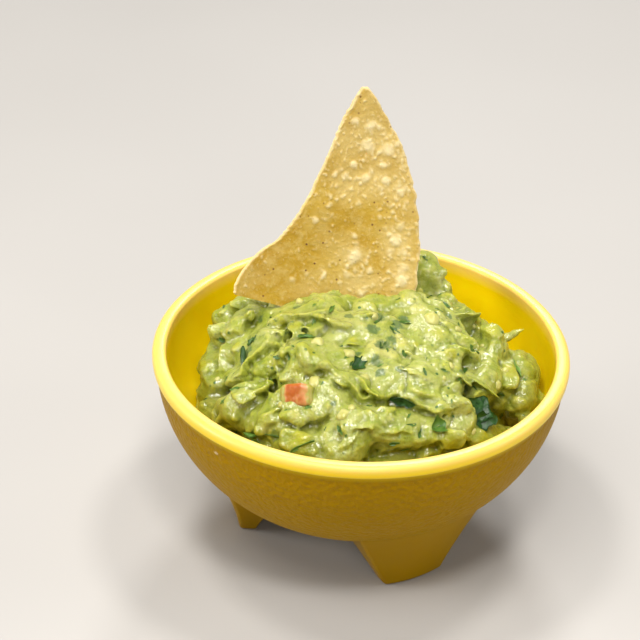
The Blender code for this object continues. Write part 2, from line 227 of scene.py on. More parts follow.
def make_mottle_group():
    group = bpy.data.node_groups.new("mottle", "ShaderNodeTree")
    for name, kind, value in MOTTLE_INPUTS:
        socket = group.interface.new_socket(name=name, in_out="INPUT", socket_type=kind)
        if value is not None:
            socket.default_value = value
    group.interface.new_socket(name="Color", in_out="OUTPUT", socket_type="NodeSocketColor")
    group.interface.new_socket(name="Noise", in_out="OUTPUT", socket_type="NodeSocketFloat")
    given = group.nodes.new("NodeGroupInput").outputs
    cloud = noise_node(group, given["Vector"], given["Scale"], given["Detail"], given["Breakup"])
    share = mapped(group, cloud, given["Low"], given["High"])
    result = group.nodes.new("NodeGroupOutput").inputs
    group.links.new(mixed(group, share, given["First"], given["Second"]), result["Color"])
    group.links.new(cloud, result["Noise"])
    return group


mottle_group = make_mottle_group()


def mottled(tree, vector, scale, first, second, **settings):
    """The group placed in a material: its colour, and its noise for other uses."""
    inputs = {"Vector": vector, "Scale": scale, "First": first, "Second": second, **settings}
    placed = node(tree, "ShaderNodeGroup", inputs, node_tree=mottle_group)
    return placed.outputs["Color"], placed.outputs["Noise"]


print("group sockets:", [item.name for item in mottle_group.interface.items_tree])

# %% [markdown]
# ## The bowl
# The real bowl is one moulding of yellow plastic. Its wall is a half ellipsoid with a rounded bead
# round the rim. The inside and the bead are smooth. Outside, the mould was etched to a fine
# leathery pebble that fades out near the bottom and is absent on the feet.
#
# The wall is a profile turned round the axis in fine steps, so that the rim's highlight runs
# without facets. Each point also stores how strongly it is pebbled, for the material to read.

# %% Bowl sizes
RIM_WIDTH = 4.0
SHELL_LEVEL = RIM_TOP - 3.0
OUTER_RADIUS = RIM_RADIUS - 1.1
OUTER_DEPTH = 50.0
INNER_RADIUS = RIM_RADIUS - RIM_WIDTH
INNER_DEPTH = 46.5
BOWL_STEPS = 240
PEBBLE_TOP = RIM_TOP - 6.0
PEBBLE_BOTTOM = 21.0


def arc(centre, radius, start, end, count):
    angles = np.radians(np.linspace(start, end, count))
    return [(centre[0] + radius * math.cos(a), centre[1] + radius * math.sin(a)) for a in angles]


def shell_point(radius, depth, angle):
    a = math.radians(angle)
    return (radius * math.cos(a), SHELL_LEVEL - depth * math.sin(a))


def bowl_profile():
    inside = [shell_point(INNER_RADIUS, INNER_DEPTH, a) for a in np.linspace(90, 2, 40)]
    bead = arc((INNER_RADIUS + 1.0, RIM_TOP - 1.05), 1.0, 180, 97, 7)
    bead += arc((INNER_RADIUS + 2.1, RIM_TOP - 6.0), 6.0, 96, 84, 4)
    bead += arc((RIM_RADIUS - 1.7, RIM_TOP - 1.75), 1.7, 80, 0, 9)
    bead += [(RIM_RADIUS - 0.02, RIM_TOP - 2.4), (RIM_RADIUS - 0.12, RIM_TOP - 2.9)]
    bead += arc((RIM_RADIUS - 0.75, RIM_TOP - 3.1), 0.6, -10, -75, 4)
    bead += [(OUTER_RADIUS + 0.12, RIM_TOP - 3.85), (OUTER_RADIUS - 0.02, RIM_TOP - 4.2)]
    outside = [shell_point(OUTER_RADIUS, OUTER_DEPTH, a) for a in np.linspace(3, 90, 44)]
    return np.array(inside + bead + outside)


profile = bowl_profile()
print("profile points:", len(profile))

# %% Bowl wall
def turn(profile, steps):
    rings = profile[1:-1]
    angles = np.linspace(0, 2 * np.pi, steps, endpoint=False)
    ring_points = np.stack(
        [
            np.outer(np.cos(angles), rings[:, 0]),
            np.outer(np.sin(angles), rings[:, 0]),
            np.outer(np.ones(steps), rings[:, 1]),
        ],
        axis=2,
    ).reshape(-1, 3)
    points = np.vstack([[(0, 0, profile[0][1]), (0, 0, profile[-1][1])], ring_points])
    per = len(rings)
    faces = []
    for k in range(steps):
        here, there = 2 + k * per, 2 + (k + 1) % steps * per
        faces.append((0, there, here))
        faces += [(here + j, there + j, there + j + 1, here + j + 1) for j in range(per - 1)]
        faces.append((1, here + per - 1, there + per - 1))
    return points, faces


def smooth_step(x, low, high):
    t = np.clip((x - low) / (high - low), 0.0, 1.0)
    return t * t * (3.0 - 2.0 * t)


wall_points, wall_faces = turn(profile, BOWL_STEPS)
print("wall points:", len(wall_points))

# %% [markdown]
# The three feet are tapered lugs, 120 degrees apart. Each is a grid over its outer and inner face,
# with its edges rounded by a bevel. They run a little into the wall, and join it there.

# %% Feet
FOOT_BEARINGS = (31.0, 151.0, 271.0)
FOOT_OUTER = (35.4, 8.4)  # radius at the table, and how much more where it meets the wall
FOOT_INNER = (30.6, -3.0)
FOOT_HALF_WIDTH = 9.4
FOOT_SIDE_SLOPE = 0.50


def outer_wall_height(r):
    return SHELL_LEVEL - OUTER_DEPTH * math.sqrt(1.0 - (r / OUTER_RADIUS) ** 2)


def foot_surface(bearing, radius, flare, levels=14, columns=14):
    top = outer_wall_height(radius + flare) + 1.2
    rows = []
    for up in np.linspace(0.0, 1.0, levels):
        r = radius + flare * up**1.3
        half = FOOT_HALF_WIDTH + FOOT_SIDE_SLOPE * top * up
        a = math.radians(bearing) + np.arcsin(np.linspace(-half, half, columns) / r)
        rows.append(np.stack([r * np.sin(a), -r * np.cos(a), np.full(columns, top * up)], axis=1))
    return np.array(rows)


def foot_object(name, bearing, material):
    outer, inner = foot_surface(bearing, *FOOT_OUTER), foot_surface(bearing, *FOOT_INNER)
    levels, columns = outer.shape[:2]
    points = np.vstack([outer.reshape(-1, 3), inner.reshape(-1, 3)])
    shift = levels * columns
    faces = []
    for j in range(levels - 1):
        for i in range(columns - 1):
            a, b = j * columns + i, (j + 1) * columns + i
            faces.append((a, a + 1, b + 1, b))
            faces.append((a + shift, b + shift, b + 1 + shift, a + 1 + shift))
        for i in (0, columns - 1):
            a, b = j * columns + i, (j + 1) * columns + i
            faces.append((a, b, b + shift, a + shift))
    for j in (0, levels - 1):
        for i in range(columns - 1):
            a = j * columns + i
            faces.append((a, a + 1, a + 1 + shift, a + shift))
    obj = make_object(name, points, faces, material)
    tidy = bmesh.new()
    tidy.from_mesh(obj.data)
    bmesh.ops.recalc_face_normals(tidy, faces=tidy.faces)
    tidy.to_mesh(obj.data)
    tidy.free()
    bevel = obj.modifiers.new("round", "BEVEL")
    bevel.width = 2.3 * MM
    bevel.segments = 7
    bevel.limit_method = "ANGLE"
    bevel.angle_limit = math.radians(40.0)
    return obj


# %% [markdown]
# ### The bowl's plastic
# Yellow plastic like this lets a little light into it, so its shaded parts stay a warm, deep yellow
# and never go grey. A little subsurface scattering does that. The pebble is a bump from cells of
# noise about a millimetre wide. The mould was polished inside and round the rim, and etched
# outside. The two finishes differ in how much they mirror, a number that has to sit on the shader
# itself, so they are two materials from one function. Under the rim is a small whitish scuff.
# The outside's darker orange is painted shade, partly also the etched skin's deeper tone, and the rim's paler, whiter
# top is a painted sheen.

# %% Plastic material
SCUFF_PLACE = (-0.0387, -0.0440, 0.0520)
SCUFF_STRETCH = (1.0, 1.0, 1.9)


def scuff_mask(tree, place):
    """One rubbed mark, about a millimetre across and lower than it is long."""
    offset = node(tree, "ShaderNodeVectorMath", {0: place, 1: SCUFF_PLACE}, operation="SUBTRACT").outputs[0]
    flat = node(tree, "ShaderNodeVectorMath", {0: offset, 1: SCUFF_STRETCH}, operation="MULTIPLY").outputs[0]
    reach = node(tree, "ShaderNodeVectorMath", {0: flat}, operation="LENGTH").outputs["Value"]
    ragged = mapped(tree, noise_node(tree, place, 1600.0, 2.0), 0.3, 0.7, -0.0003, 0.0003)
    return mapped(tree, math_node(tree, "ADD", reach, ragged), 0.0010, 0.0006, 0.0, 0.8)


def make_plastic(name, specular):
    material, tree, shader = new_material(name)
    place = object_place(tree)
    pebble_mask = attribute(tree, "pebble")
    outside = attribute(tree, "outside")
    rim = attribute(tree, "rim")
    colour, _ = mottled(tree, place, 38.0, (0.90, 0.635, 0.0, 1), (0.94, 0.675, 0.002, 1), Detail=3.0)
    # Painted shade: the outer wall and the feet are coloured a much darker orange, standing in for the shade under the
    # bowl, partly also the etched skin's deeper tone.
    colour = mixed(tree, outside, colour, (0.345, 0.190, 0.0, 1))
    # Painted highlight: the rim's top is coloured paler and whiter, a painted sheen of the lamps on the polished bead.
    colour = mixed(tree, mapped(tree, rim, 0.0, 1.0, 0.0, 0.85), colour, (0.79, 0.55, 0.14, 1))
    colour = mixed(tree, scuff_mask(tree, place), colour, (0.62, 0.50, 0.30, 1))
    grain = noise_node(tree, place, 720.0, 2.0, 0.6)
    cells = node(tree, "ShaderNodeTexVoronoi", {"Vector": place, "Scale": 620.0}, feature="SMOOTH_F1").outputs[0]
    pebble = math_node(tree, "MULTIPLY", math_node(tree, "ADD", grain, cells), pebble_mask)
    shallow = math_node(tree, "MULTIPLY", noise_node(tree, place, 90.0, 2.0), 0.25)
    height = math_node(tree, "ADD", pebble, shallow)
    rough = mapped(tree, pebble_mask, 0.0, 1.0, 0.30, 0.46)
    worn = mapped(tree, noise_node(tree, place, 260.0, 4.0, 0.7), 0.62, 0.75, 0.0, 0.12)
    connect(tree, colour, shader, "Base Color")
    connect(tree, math_node(tree, "ADD", rough, worn), shader, "Roughness")
    connect(tree, bump(tree, height, 0.00068, 0.8), shader, "Normal")
    shader.inputs["Subsurface Weight"].default_value = 0.25
    shader.inputs["Subsurface Radius"].default_value = (1.0, 0.6, 0.1)
    shader.inputs["Subsurface Scale"].default_value = 0.003
    shader.inputs["Specular IOR Level"].default_value = specular
    return material


polished_plastic = make_plastic("polished_plastic", 0.32)
etched_plastic = make_plastic("etched_plastic", 0.05)
print("materials:", polished_plastic.name, etched_plastic.name)

# %% Assemble the bowl
def evaluated_mesh(obj):
    graph = bpy.context.evaluated_depsgraph_get()
    return bpy.data.meshes.new_from_object(obj.evaluated_get(graph))


def build_bowl():
    height = wall_points[:, 2]
    radius = np.hypot(wall_points[:, 0], wall_points[:, 1])
    outer_edge = OUTER_RADIUS * np.sqrt(np.clip(1 - ((SHELL_LEVEL - height) / OUTER_DEPTH) ** 2, 0, 1))
    outside = smooth_step(radius, outer_edge - 1.0, outer_edge - 0.5)
    pebble = outside * smooth_step(height, PEBBLE_BOTTOM - 7.0, PEBBLE_BOTTOM + 7.0)
    pebble *= 1.0 - smooth_step(height, PEBBLE_TOP, PEBBLE_TOP + 1.2)
    # rim marks the bead's top, where the material paints a paler sheen.
    rim = smooth_step(height, RIM_LEVEL - 1.2, RIM_LEVEL + 0.8)
    outside = np.maximum(outside * (1.0 - smooth_step(height, SHELL_LEVEL - 2.5, RIM_LEVEL - 1.2)), pebble)
    stored = {"pebble": pebble, "rim": rim, "outside": outside}
    bowl = make_object("bowl_shell", wall_points, wall_faces, polished_plastic, stored)
    bowl.data.materials.append(etched_plastic)
    joined = bmesh.new()
    joined.from_mesh(bowl.data)
    shell_count = len(joined.verts)
    for bearing in FOOT_BEARINGS:
        foot = foot_object("foot", bearing, etched_plastic)
        mesh = evaluated_mesh(foot)
        joined.from_mesh(mesh)
        bpy.data.objects.remove(foot, do_unlink=True)
    joined.verts.ensure_lookup_table()
    outer_skin = joined.verts.layers.float["outside"]
    # The feet count as outside, so they get the etched finish and the same painted shade colour.
    for vertex in joined.verts[shell_count:]:
        vertex[outer_skin] = 1.0
    for face in joined.faces:
        skin = sum(vertex[outer_skin] for vertex in face.verts) / len(face.verts)
        face.material_index = int(skin > 0.5)
    joined.to_mesh(bowl.data)
    joined.free()
    bowl.data.shade_smooth()
    bowl.data.set_sharp_from_angle(angle=math.radians(50.0))
    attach(bowl, "root")
    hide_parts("bowl")
    return bowl


bowl = build_bowl()
print("bowl faces:", len(bowl.data.polygons))

# %% [markdown]
# ## The heap
# Guacamole is mashed avocado with pieces left in it. It was spooned in, so it lies in thick folds
# with torn edges, lumps of avocado stand out of it, and there are dark hollows under the folds.
#
# The heap is made in stages. Large lumps are laid on a dome where the folds are. They are melted
# together by a voxel remesh, which turns overlapping closed bodies into one skin. Chunks are then
# strewn over that skin and melted in too, at a finer voxel. Last, every point is moved by noise.

# %% Sizes of the heap
DOME_CENTRE = np.array((1.0, 1.0, -30.0))
DOME_RADII = np.array((44.5, 44.5, 37.0))
FILL_LEVEL = -23.0
WALL_GAP = 0.35
RIM_MIDDLE = np.array((0.0, 0.0, RIM_LEVEL))

# name, centre x y z from the rim's middle, half length, width and thickness, heading, squareness, tilt
# A negative tilt lifts the lower edge of a fold off the heap.
FOLDS = (
    ("upper_scoop", 8, -8, 5.0, 22, 13, 6.0, -10, 2.3, 0),
    ("upper_lip_left", -9, -15, 6.5, 12, 8, 4.5, -38, 2.3, -16),
    ("upper_lip_middle", 5, -19, 5.0, 11, 8, 4.5, -8, 2.3, -16),
    ("upper_lip_right", 19, -18, 2.5, 10, 9, 5, 12, 2.4, -14),
    ("upper_back_left", -6, -4, 8.5, 10, 8, 4.5, 0, 2.0, 0),
    ("upper_back_right", 19, 3, 5.5, 13, 9, 5, -20, 2.2, 0),
    ("upper_roll", 17, 6, 8.5, 9, 4.2, 3.2, -28, 2.2, -10),
    ("crest_left", -21, 6, 6.5, 10, 6, 5, 15, 2.0, 0),
    ("crest_leaf", -16, 1, 8.5, 11, 6.5, 3.2, 10, 2.3, -22),
    ("crest_fold", -12, 8, 8.5, 8, 5, 5, -10, 2.0, 0),
    ("crest_peak", 3, 9, 8.0, 6, 4.5, 4.2, 0, 2.0, 0),
    ("crest_right", 12, 9, 7, 8, 5, 5, 10, 2.0, 0),
    ("lower_scoop", -7, -28, 0.5, 10, 8, 5.5, 70, 2.2, 0),
    ("lower_tongue", -3, -37, -5, 10, 7, 7, 82, 2.4, 0),
    ("lower_middle", 10, -30, -2.5, 12, 9, 5.5, -6, 2.4, -14),
    ("lower_right", 22, -28, -5, 10, 8, 6, 14, 2.4, -18),
    ("bottom_ledge", 19, -35, -13, 15, 7, 5, 15, 2.2, 0),
    ("bottom_bump", 8, -40, -12, 5, 4.5, 4.5, 0, 2.0, 0),
    ("tomato_cup", -19, -29, -2.5, 8.5, 8, 5.0, -30, 2.2, -18),
    ("tomato_top", -14, -22, 3.0, 10, 4.5, 4.0, -28, 2.2, 0),
    ("left_fold_low", -29, -12, 0, 10, 6.5, 4.5, 12, 2.4, -24),
    ("left_fold_high", -28, -5, 3, 9, 6, 4.5, 20, 2.3, -20),
    ("left_arch", -33, 5, -0.5, 12, 8, 6.5, 55, 2.4, -8),
    ("left_slab", -40, -1, -7.5, 12, 6.5, 4.5, 66, 2.6, -26),
    ("left_slab_tip", -44, -8, -12.5, 6, 4, 2.8, 60, 2.2, -20),
    ("block_low", -38, 19, -5, 5, 6, 7, 10, 3.2, 0),
    ("block_high", -31, 21, 0, 8.5, 5.5, 6, 12, 3.2, 0),
    ("front_left", -33, -21, -6.5, 8, 7, 6, 30, 2.6, -20),
    ("front_left_wall", -41, -15, -16, 8, 7, 5, 60, 2.2, 0),
    ("front_left_low", -25, -28, -8, 7, 6, 5, 0, 2.2, 0),
    ("bottom_left", -27, -34, -14, 8, 6, 5, -40, 2.2, -20),
    ("bottom_left_leaf", -23, -34, -9, 8, 3.5, 2.5, 18, 2.2, -30),
    ("bottom_left_mid", -15, -36, -8.5, 9, 7, 6, -10, 2.2, -10),
    ("bottom_left_low", -9, -41, -13, 8, 6, 6, 0, 2.0, 0),
    ("right_ridge", 36, 7, -4, 9, 5.5, 7, 80, 2.4, 0),
    ("right_ridge_front", 33, -10, -4.5, 10, 5.5, 7, 62, 2.4, 0),
    ("right_ridge_out", 39, -3, -9, 7, 5, 6, 80, 2.2, 0),
    ("far_right", 45, 6, -10, 8, 6, 6, 80, 2.6, 0),
    ("far_right_wall", 47.5, -3, -11.5, 6, 5, 4, 70, 2.4, 15),
    ("far_right_low", 42, -13, -21, 6, 5, 3, 60, 2.2, 0),
    ("back_shoulder", 25, 14, 2, 9, 8, 5.5, 30, 2.2, 0),
    ("back_shoulder_out", 33, 15, -4, 7, 7, 6, 30, 2.2, 0),
    ("back_blob_near", 17, 28, 3.0, 4.5, 4.5, 4.5, 0, 2.1, 0),
    ("back_blob_out", 22.5, 29, 2.5, 4.5, 4, 4.5, 0, 2.2, 0),
    ("back_blob_mid", 19, 30, 8, 3.5, 3.2, 3.2, 0, 2.2, 0),
    ("back_blob_far", 17.5, 34, 9.5, 3.6, 3.6, 3.6, 0, 2.0, 0),
    ("back_blob_low", 25, 25, 1.5, 3.5, 3.5, 3.2, 0, 2.4, 0),
    ("low_right", 34, -25, -13, 8, 7, 6, 30, 2.4, -10),
    ("low_right_out", 38, -19, -16, 6, 5, 4.5, 50, 2.2, 0),
    ("crest_middle", -4, 10.2, 7.0, 5, 4.2, 4.4, 0, 2.0, 0),
    ("tomato_cover", -10.8, -31.6, 0.9, 5.5, 3.0, 2.7, 35, 2.0, 0),
)

# Torn sheets of mash, thin, with a free lower edge: name, centre, half length and width, half
# thickness, heading, tilt, and how far the free edge curls outwards
SHEETS = (
    ("arch", -38, 2, -4.0, 14, 6.5, 1.7, 60, -38, 1.5),
    ("arch_tip", -43, -7, -11.0, 7, 4.0, 1.2, 55, -45, 1.0),
    ("leaf", -29, -9, 1.8, 9, 4.5, 1.2, 18, -42, 1.8),
    ("leaf_lower", -21, -15, 4.0, 10, 4.5, 1.4, -30, -40, 1.5),
    ("leaf_inner", -25, -4, 5.0, 8, 4.0, 1.2, 5, -35, 1.5),
    ("crest", -18, 2, 9.5, 11, 6.0, 1.3, -6, -30, 1.5),
    ("crest_curl", -9, -3, 10.5, 7, 3.5, 1.1, -48, -45, 1.8),
    ("ledge_leaf", -21, -33.5, -8.0, 9, 3.6, 1.0, 14, -45, 1.6),
    ("ledge_leaf_low", -14, -39, -10.5, 8, 3.5, 1.2, -10, -40, 1.4),
    ("lip_left", -8, -21, 6.5, 12, 4.5, 1.6, -26, -42, 1.4),
    ("lip_tip", 1.5, -25, 5.0, 6, 3.5, 1.5, -10, -45, 1.0),
    ("lip_right", 19, -24, 1.5, 11, 4.5, 1.6, -8, -42, 1.4),
    ("ledge_right", 17, -34, -5.5, 13, 4.0, 1.6, 3, -45, 1.4),
    ("ledge_far_right", 31, -28, -9.5, 8, 4.0, 1.3, 20, -45, 1.4),
    ("front_left", -31, -22, -3.0, 8, 4.5, 1.3, 20, -45, 1.5),
    ("front_left_low", -37, -23, -10.0, 8, 4.0, 1.2, 30, -45, 1.4),
    ("ridge", 35, 0, -1.0, 12, 4.5, 1.5, 84, -35, 1.0),
    ("ridge_right", 42, 4, -6.0, 9, 4.0, 1.3, 80, -40, 1.4),
    ("outer_right", 46, -3, -10.5, 8, 4.5, 1.3, 72, -45, 1.4),
    ("right_of_scoop", 27, -10, 2.5, 11, 4.5, 1.5, 72, -30, 0.8),
    ("back_roll", 20, 9, 8.0, 9, 4.0, 1.3, -24, -35, 1.6),
    ("back_peak", 27, 21, 2.5, 7, 4.0, 1.3, 30, -30, 1.2),
    ("top_tear", 5, 4, 9.8, 8, 4.0, 1.2, 20, -30, 1.2),
)
# Pulled points where the spoon let go: base, tip and half width of the base, mm
POINTS_PULLED = (
    ((3.0, 9.0, 7.0), (2.5, 10.5, 13.2), 2.2),
    ((38.0, 16.0, -6.5), (48.6, 18.0, -1.8), 2.4),
    ((15.5, 19.0, 4.5), (16.5, 22.0, 10.0), 2.0),
    ((-38.0, -3.0, -5.0), (-44.5, -9.5, -12.5), 2.6),
    ((-32.0, -20.0, -4.0), (-37.0, -19.0, -3.5), 1.8),
)
print("folds:", len(FOLDS), " sheets:", len(SHEETS), " points:", len(POINTS_PULLED))

# %% Lump maker
def unit_sphere(subdivisions):
    ball = bmesh.new()
    bmesh.ops.create_icosphere(ball, subdivisions=subdivisions, radius=1.0)
    points = np.array([v.co[:] for v in ball.verts])
    faces = [tuple(v.index for v in f.verts) for f in ball.faces]
    ball.free()
    return points, faces


BALLS = {size: unit_sphere(size) for size in (2, 3, 5)}


def dome_axes(centre, heading, tilt=0.0):
    """Axes of a lump on the dome: along its heading, across it and outwards, tipped by tilt."""
    out = (np.array(centre) - DOME_CENTRE) / DOME_RADII**2
    out /= np.linalg.norm(out)
    a = math.radians(heading)
    along = np.array((math.cos(a), math.sin(a), 0.0))
    along -= out * (along @ out)
    along /= np.linalg.norm(along)
    across = np.cross(out, along)
    if across[2] < 0.0:
        along, across = -along, -across
    t = math.radians(tilt)
    return np.array((along, across * math.cos(t) + out * math.sin(t), out * math.cos(t) - across * math.sin(t)))


def lump(centre, half_sizes, axes, squareness, wobble, seed, ball=5, wavelength=6.0):
    """Points and faces of one noisy lump, in mm from the rim's middle."""
    directions, faces = BALLS[ball]
    reach = (np.abs(directions) ** squareness).sum(axis=1) ** (-1.0 / squareness)
    local = directions * reach[:, None] * np.array(half_sizes)
    points = local @ axes + np.array(centre)
    swell = fractal(points, wavelength, seed, 2) * wobble
    return points + (directions @ axes) * swell[:, None], faces


def sheet(centre, half_sizes, axes, curl, seed, wavelength=3.5):
    """A torn sheet: a flat lump with a ragged outline whose free edge curls outwards."""
    directions, faces = BALLS[5]
    reach = (np.abs(directions) ** 2.3).sum(axis=1) ** (-1.0 / 2.3)
    local = directions * reach[:, None]
    free = np.clip(-local[:, 1], 0.0, 1.0)
    local = local * np.array(half_sizes)
    local[:, 2] *= 1.15 - 0.55 * free
    local[:, 2] += curl * free**2
    points = local @ axes + np.array(centre)
    ragged = fractal(points, wavelength, seed, 3)
    in_plane = directions * np.array((1.0, 1.0, 0.25))
    points = points + (in_plane @ axes) * (ragged * 2.1)[:, None]
    wave = fractal(points, wavelength * 2.0, seed + 50, 2)
    return points + np.array(axes[2]) * (wave * 1.0)[:, None], faces


def pulled_point(base, tip, width, seed):
    """A cone of mash drawn out to a fine, slightly bent end."""
    directions, faces = BALLS[3]
    base, tip = np.array(base), np.array(tip)
    line = tip - base
    length = np.linalg.norm(line)
    side = np.cross(line, (0.3, -0.2, 1.0))
    side /= np.linalg.norm(side)
    third = np.cross(line / length, side)
    along = (directions[:, 2] + 1.0) / 2.0
    thickness = width * (1.0 - along) ** 0.8 + 0.25
    points = base + along[:, None] * line + side * (directions[:, 0] * thickness)[:, None]
    points = points + third * (directions[:, 1] * thickness * 0.8)[:, None]
    bend = side * (np.sin(along * 2.4) * length * 0.06)[:, None]
    return points + bend + directions * (fractal(points, 3.0, seed, 2) * 0.5)[:, None], faces


def joined(parts):
    points, faces, count = [], [], 0
    for part_points, part_faces in parts:
        points.append(part_points)
        faces += [tuple(i + count for i in f) for f in part_faces]
        count += len(part_points)
    return np.vstack(points), faces


print("lump maker ready")

# %% [markdown]
# The body under the folds is a dome that meets the bowl's wall at the fill level. It is made as a
# turned profile: down the wall's inside, with a small gap, and over the dome. Behind the chip the
# heap isn't shown in any way that fixes it, so lumps follow a rule there.

# %% Body of the heap
def heap_body():
    floor = []
    for a in np.linspace(90, 30, 14):
        r, z = shell_point(INNER_RADIUS - WALL_GAP, INNER_DEPTH - WALL_GAP, a)
        if z - RIM_LEVEL < FILL_LEVEL:
            floor.append((r, z - RIM_LEVEL))
    edge = floor[-1][0] + 0.8
    top = []
    for e in np.linspace(0.0, 90.0, 24):
        r = DOME_RADII[0] * math.cos(math.radians(e))
        z = DOME_CENTRE[2] + DOME_RADII[2] * math.sin(math.radians(e))
        if z > FILL_LEVEL:
            top.append((r, z))
    return turn(np.array(floor + [(edge, FILL_LEVEL)] + top), 96)


def lumps_behind():
    rng = np.random.default_rng(5)
    found = []
    for reach, height, count, size in ((39.0, -9.0, 8, 8.0), (26.0, 1.5, 6, 7.0)):
        for k in range(count):
            b = math.radians(150.0 + 112.0 * (k + 0.5) / count)
            centre = (reach * math.sin(b), -reach * math.cos(b), height + rng.uniform(-1.2, 1.2))
            sizes = rng.uniform(size - 2.0, size + 1.0, 3)
            found.append((centre, sizes, rng.uniform(-40, 40)))
    return found


body_points, body_faces = heap_body()
print("body points:", len(body_points))

# %% Melt the folds together
def remeshed(name, points, faces, voxel, smoothing=0, factor=0.5):
    """The one skin round all these closed bodies, as a mesh."""
    obj = make_object(name, points, faces, None)
    remesh = obj.modifiers.new("melt", "REMESH")
    remesh.mode = "VOXEL"
    remesh.voxel_size = voxel * MM
    if smoothing:
        smooth = obj.modifiers.new("soften", "SMOOTH")
        smooth.factor = factor
        smooth.iterations = smoothing
    mesh = evaluated_mesh(obj)
    bpy.data.objects.remove(obj, do_unlink=True)
    return mesh


def faces_of(mesh):
    return [tuple(p.vertices) for p in mesh.polygons]


parts = [(body_points, body_faces)]
for seed, row in enumerate(FOLDS):
    name, x, y, z, length, width, thickness, heading, squareness, tilt = row
    axes = dome_axes((x, y, z), heading, tilt)
    parts.append(lump((x, y, z), (length, width, thickness), axes, squareness, 1.3, seed))
for seed, (centre, sizes, heading) in enumerate(lumps_behind()):
    parts.append(lump(centre, sizes, dome_axes(centre, heading), 2.2, 1.8, 60 + seed))
for seed, row in enumerate(SHEETS):
    name, x, y, z, length, width, thickness, heading, tilt, curl = row
    parts.append(sheet((x, y, z), (length, width, thickness), dome_axes((x, y, z), heading, tilt), curl, 300 + seed))
folded = remeshed("folds", *joined(parts), voxel=0.8)
print("folded skin:", len(folded.polygons), "faces")

# %% [markdown]
# Where one fold lies on another there is a crease: a small cliff, with the upper fold's lip above
# it and shade below. Each crease is a line of places on the heap, with the side that stands higher
# and the cliff's height. The skin is pushed out on the high side of the line and in on the low side.

# %% Creases
# name, higher side, rise of the lip, depth below it, then places along the line
CREASES = (
    ("scoop_lip", (0.2, 1, 0.6), 1.0, 2.6, (
        (-26, -4, 9), (-21.5, -12, 6.5), (-14, -21, 7.5), (-7, -26.5, 7), (-2, -29, 5.5), (2, -30.5, 4), (7, -29, 4.5),
        (13, -28.5, 3.5), (19, -31.5, 1), (27, -28, -0.5))),
    ("scoop_side", (-1, 0.2, 0.6), 1.0, 2.4, (
        (29, 3, 5), (29, -5, 3), (28, -15, 3), (29, -19, -1.5), (30.5, -23.5, -3.5), (32.5, -28, -6.5))),
    ("ledge", (0, 1, 0.6), 0.8, 2.2, ((4, -40, -5), (7.5, -39, -7), (14.5, -38, -6.5), (22, -36, -6), (29.5, -31.5, -7.5))),
    ("under_arch", (-1, 1, 0.3), 1.0, 3.0, (
        (-43.5, -13.5, -11), (-39, -13, -7.5), (-34.5, -18, -1), (-33, -15, 1), (-31, -11, 4), (-26.5, -9, 7), (-20, -12.5, 7))),
    ("under_cup", (0.3, 1, 0.5), 0.6, 2.0, ((-22, -28, 2), (-20.5, -33, -0.5), (-16, -36, -1.5), (-10.5, -35.5, 0), (-7.5, -34, 3))),
    ("front_left", (0.2, 1, 0.5), 0.6, 2.0, ((-35.5, -25.5, -11.5), (-30, -31.5, -8.5), (-24.5, -33.5, -5), (-21, -33.5, -1.5))),
    ("valley", (1, 0.2, 0.4), 0.6, 2.0, ((-8, -37, 1), (-4, -42, -1), (-1.5, -44.5, -5))),
    ("under_block", (0, 1, 0.6), 0.8, 2.0, ((-42, 7, -3), (-38, 1, 3.5), (-33.5, 3, 6), (-29, 8, 7.5))),
    ("under_far_right", (0, 1, 0.6), 0.4, 2.4, ((39, -13, -8), (43, -11, -12), (49, -9, -12.5))),
    ("shoulder", (0.4, -0.4, 0.6), 0.5, 1.6, ((34, 11, 1.5), (31, 1, 2.5), (30.5, -9.5, 3))),
    ("back_shoulder", (0.4, -1, 0.3), 0.5, 1.6, ((16, 20.5, 5), (23, 22, 5), (28, 13, 6.5))),
    ("crest_leaf", (0.4, 1, 0.6), 0.8, 1.6, ((-27, 3, 8), (-21, -4, 9.5), (-14, -9, 10.5), (-9, -6, 11.5))),
)
LIP_WIDTH = 3.2
SHADE_WIDTH = 3.4


def carved(points, tree, creases):
    """The points with a small cliff along each crease."""
    shift = np.zeros(len(points))
    for _, high_side, lip, depth, places in creases:
        line = np.array(places, dtype=float)
        steps = np.concatenate([[0.0], np.cumsum(np.linalg.norm(np.diff(line, axis=0), axis=1))])
        along = np.linspace(0.0, steps[-1], int(steps[-1] / 0.5) + 2)
        samples = np.stack([np.interp(along, steps, line[:, c]) for c in range(3)], axis=1)
        samples = np.array([tree.find_nearest(Vector(p))[0][:] for p in samples])
        samples = np.stack([np.convolve(np.pad(samples[:, c], 3, "edge"), np.ones(7) / 7, "valid") for c in range(3)], axis=1)
        samples = samples + np.stack([fractal(samples, 5.0, s, 2) for s in (231, 232, 233)], axis=1) * 1.2
        way = np.gradient(samples, axis=0)
        way /= np.linalg.norm(way, axis=1)[:, None]
        high = np.array(high_side) - way * (way @ np.array(high_side))[:, None]
        high /= np.linalg.norm(high, axis=1)[:, None]
        ends = np.clip(np.minimum(along, along[-1] - along) / 4.0, 0.0, 1.0)
        close = np.flatnonzero((points > samples.min(axis=0) - 9.0).all(axis=1) & (points < samples.max(axis=0) + 9.0).all(axis=1))
        gaps = np.linalg.norm(points[close][:, None, :] - samples[None, :, :], axis=2)
        nearest = gaps.argmin(axis=1)
        offset = points[close] - samples[nearest]
        side = (offset * high[nearest]).sum(axis=1)
        reach = gaps[np.arange(len(close)), nearest]
        rise = lip * np.exp(-((reach / LIP_WIDTH) ** 2)) * (side > 0) - depth * np.exp(-((reach / SHADE_WIDTH) ** 2)) * (side <= 0)
        shift[close] += rise * ends[nearest]
    return points + dome_outward(points) * shift[:, None]


def dome_outward(points):
    out = (points - DOME_CENTRE) / DOME_RADII**2
    return out / np.linalg.norm(out, axis=1)[:, None]


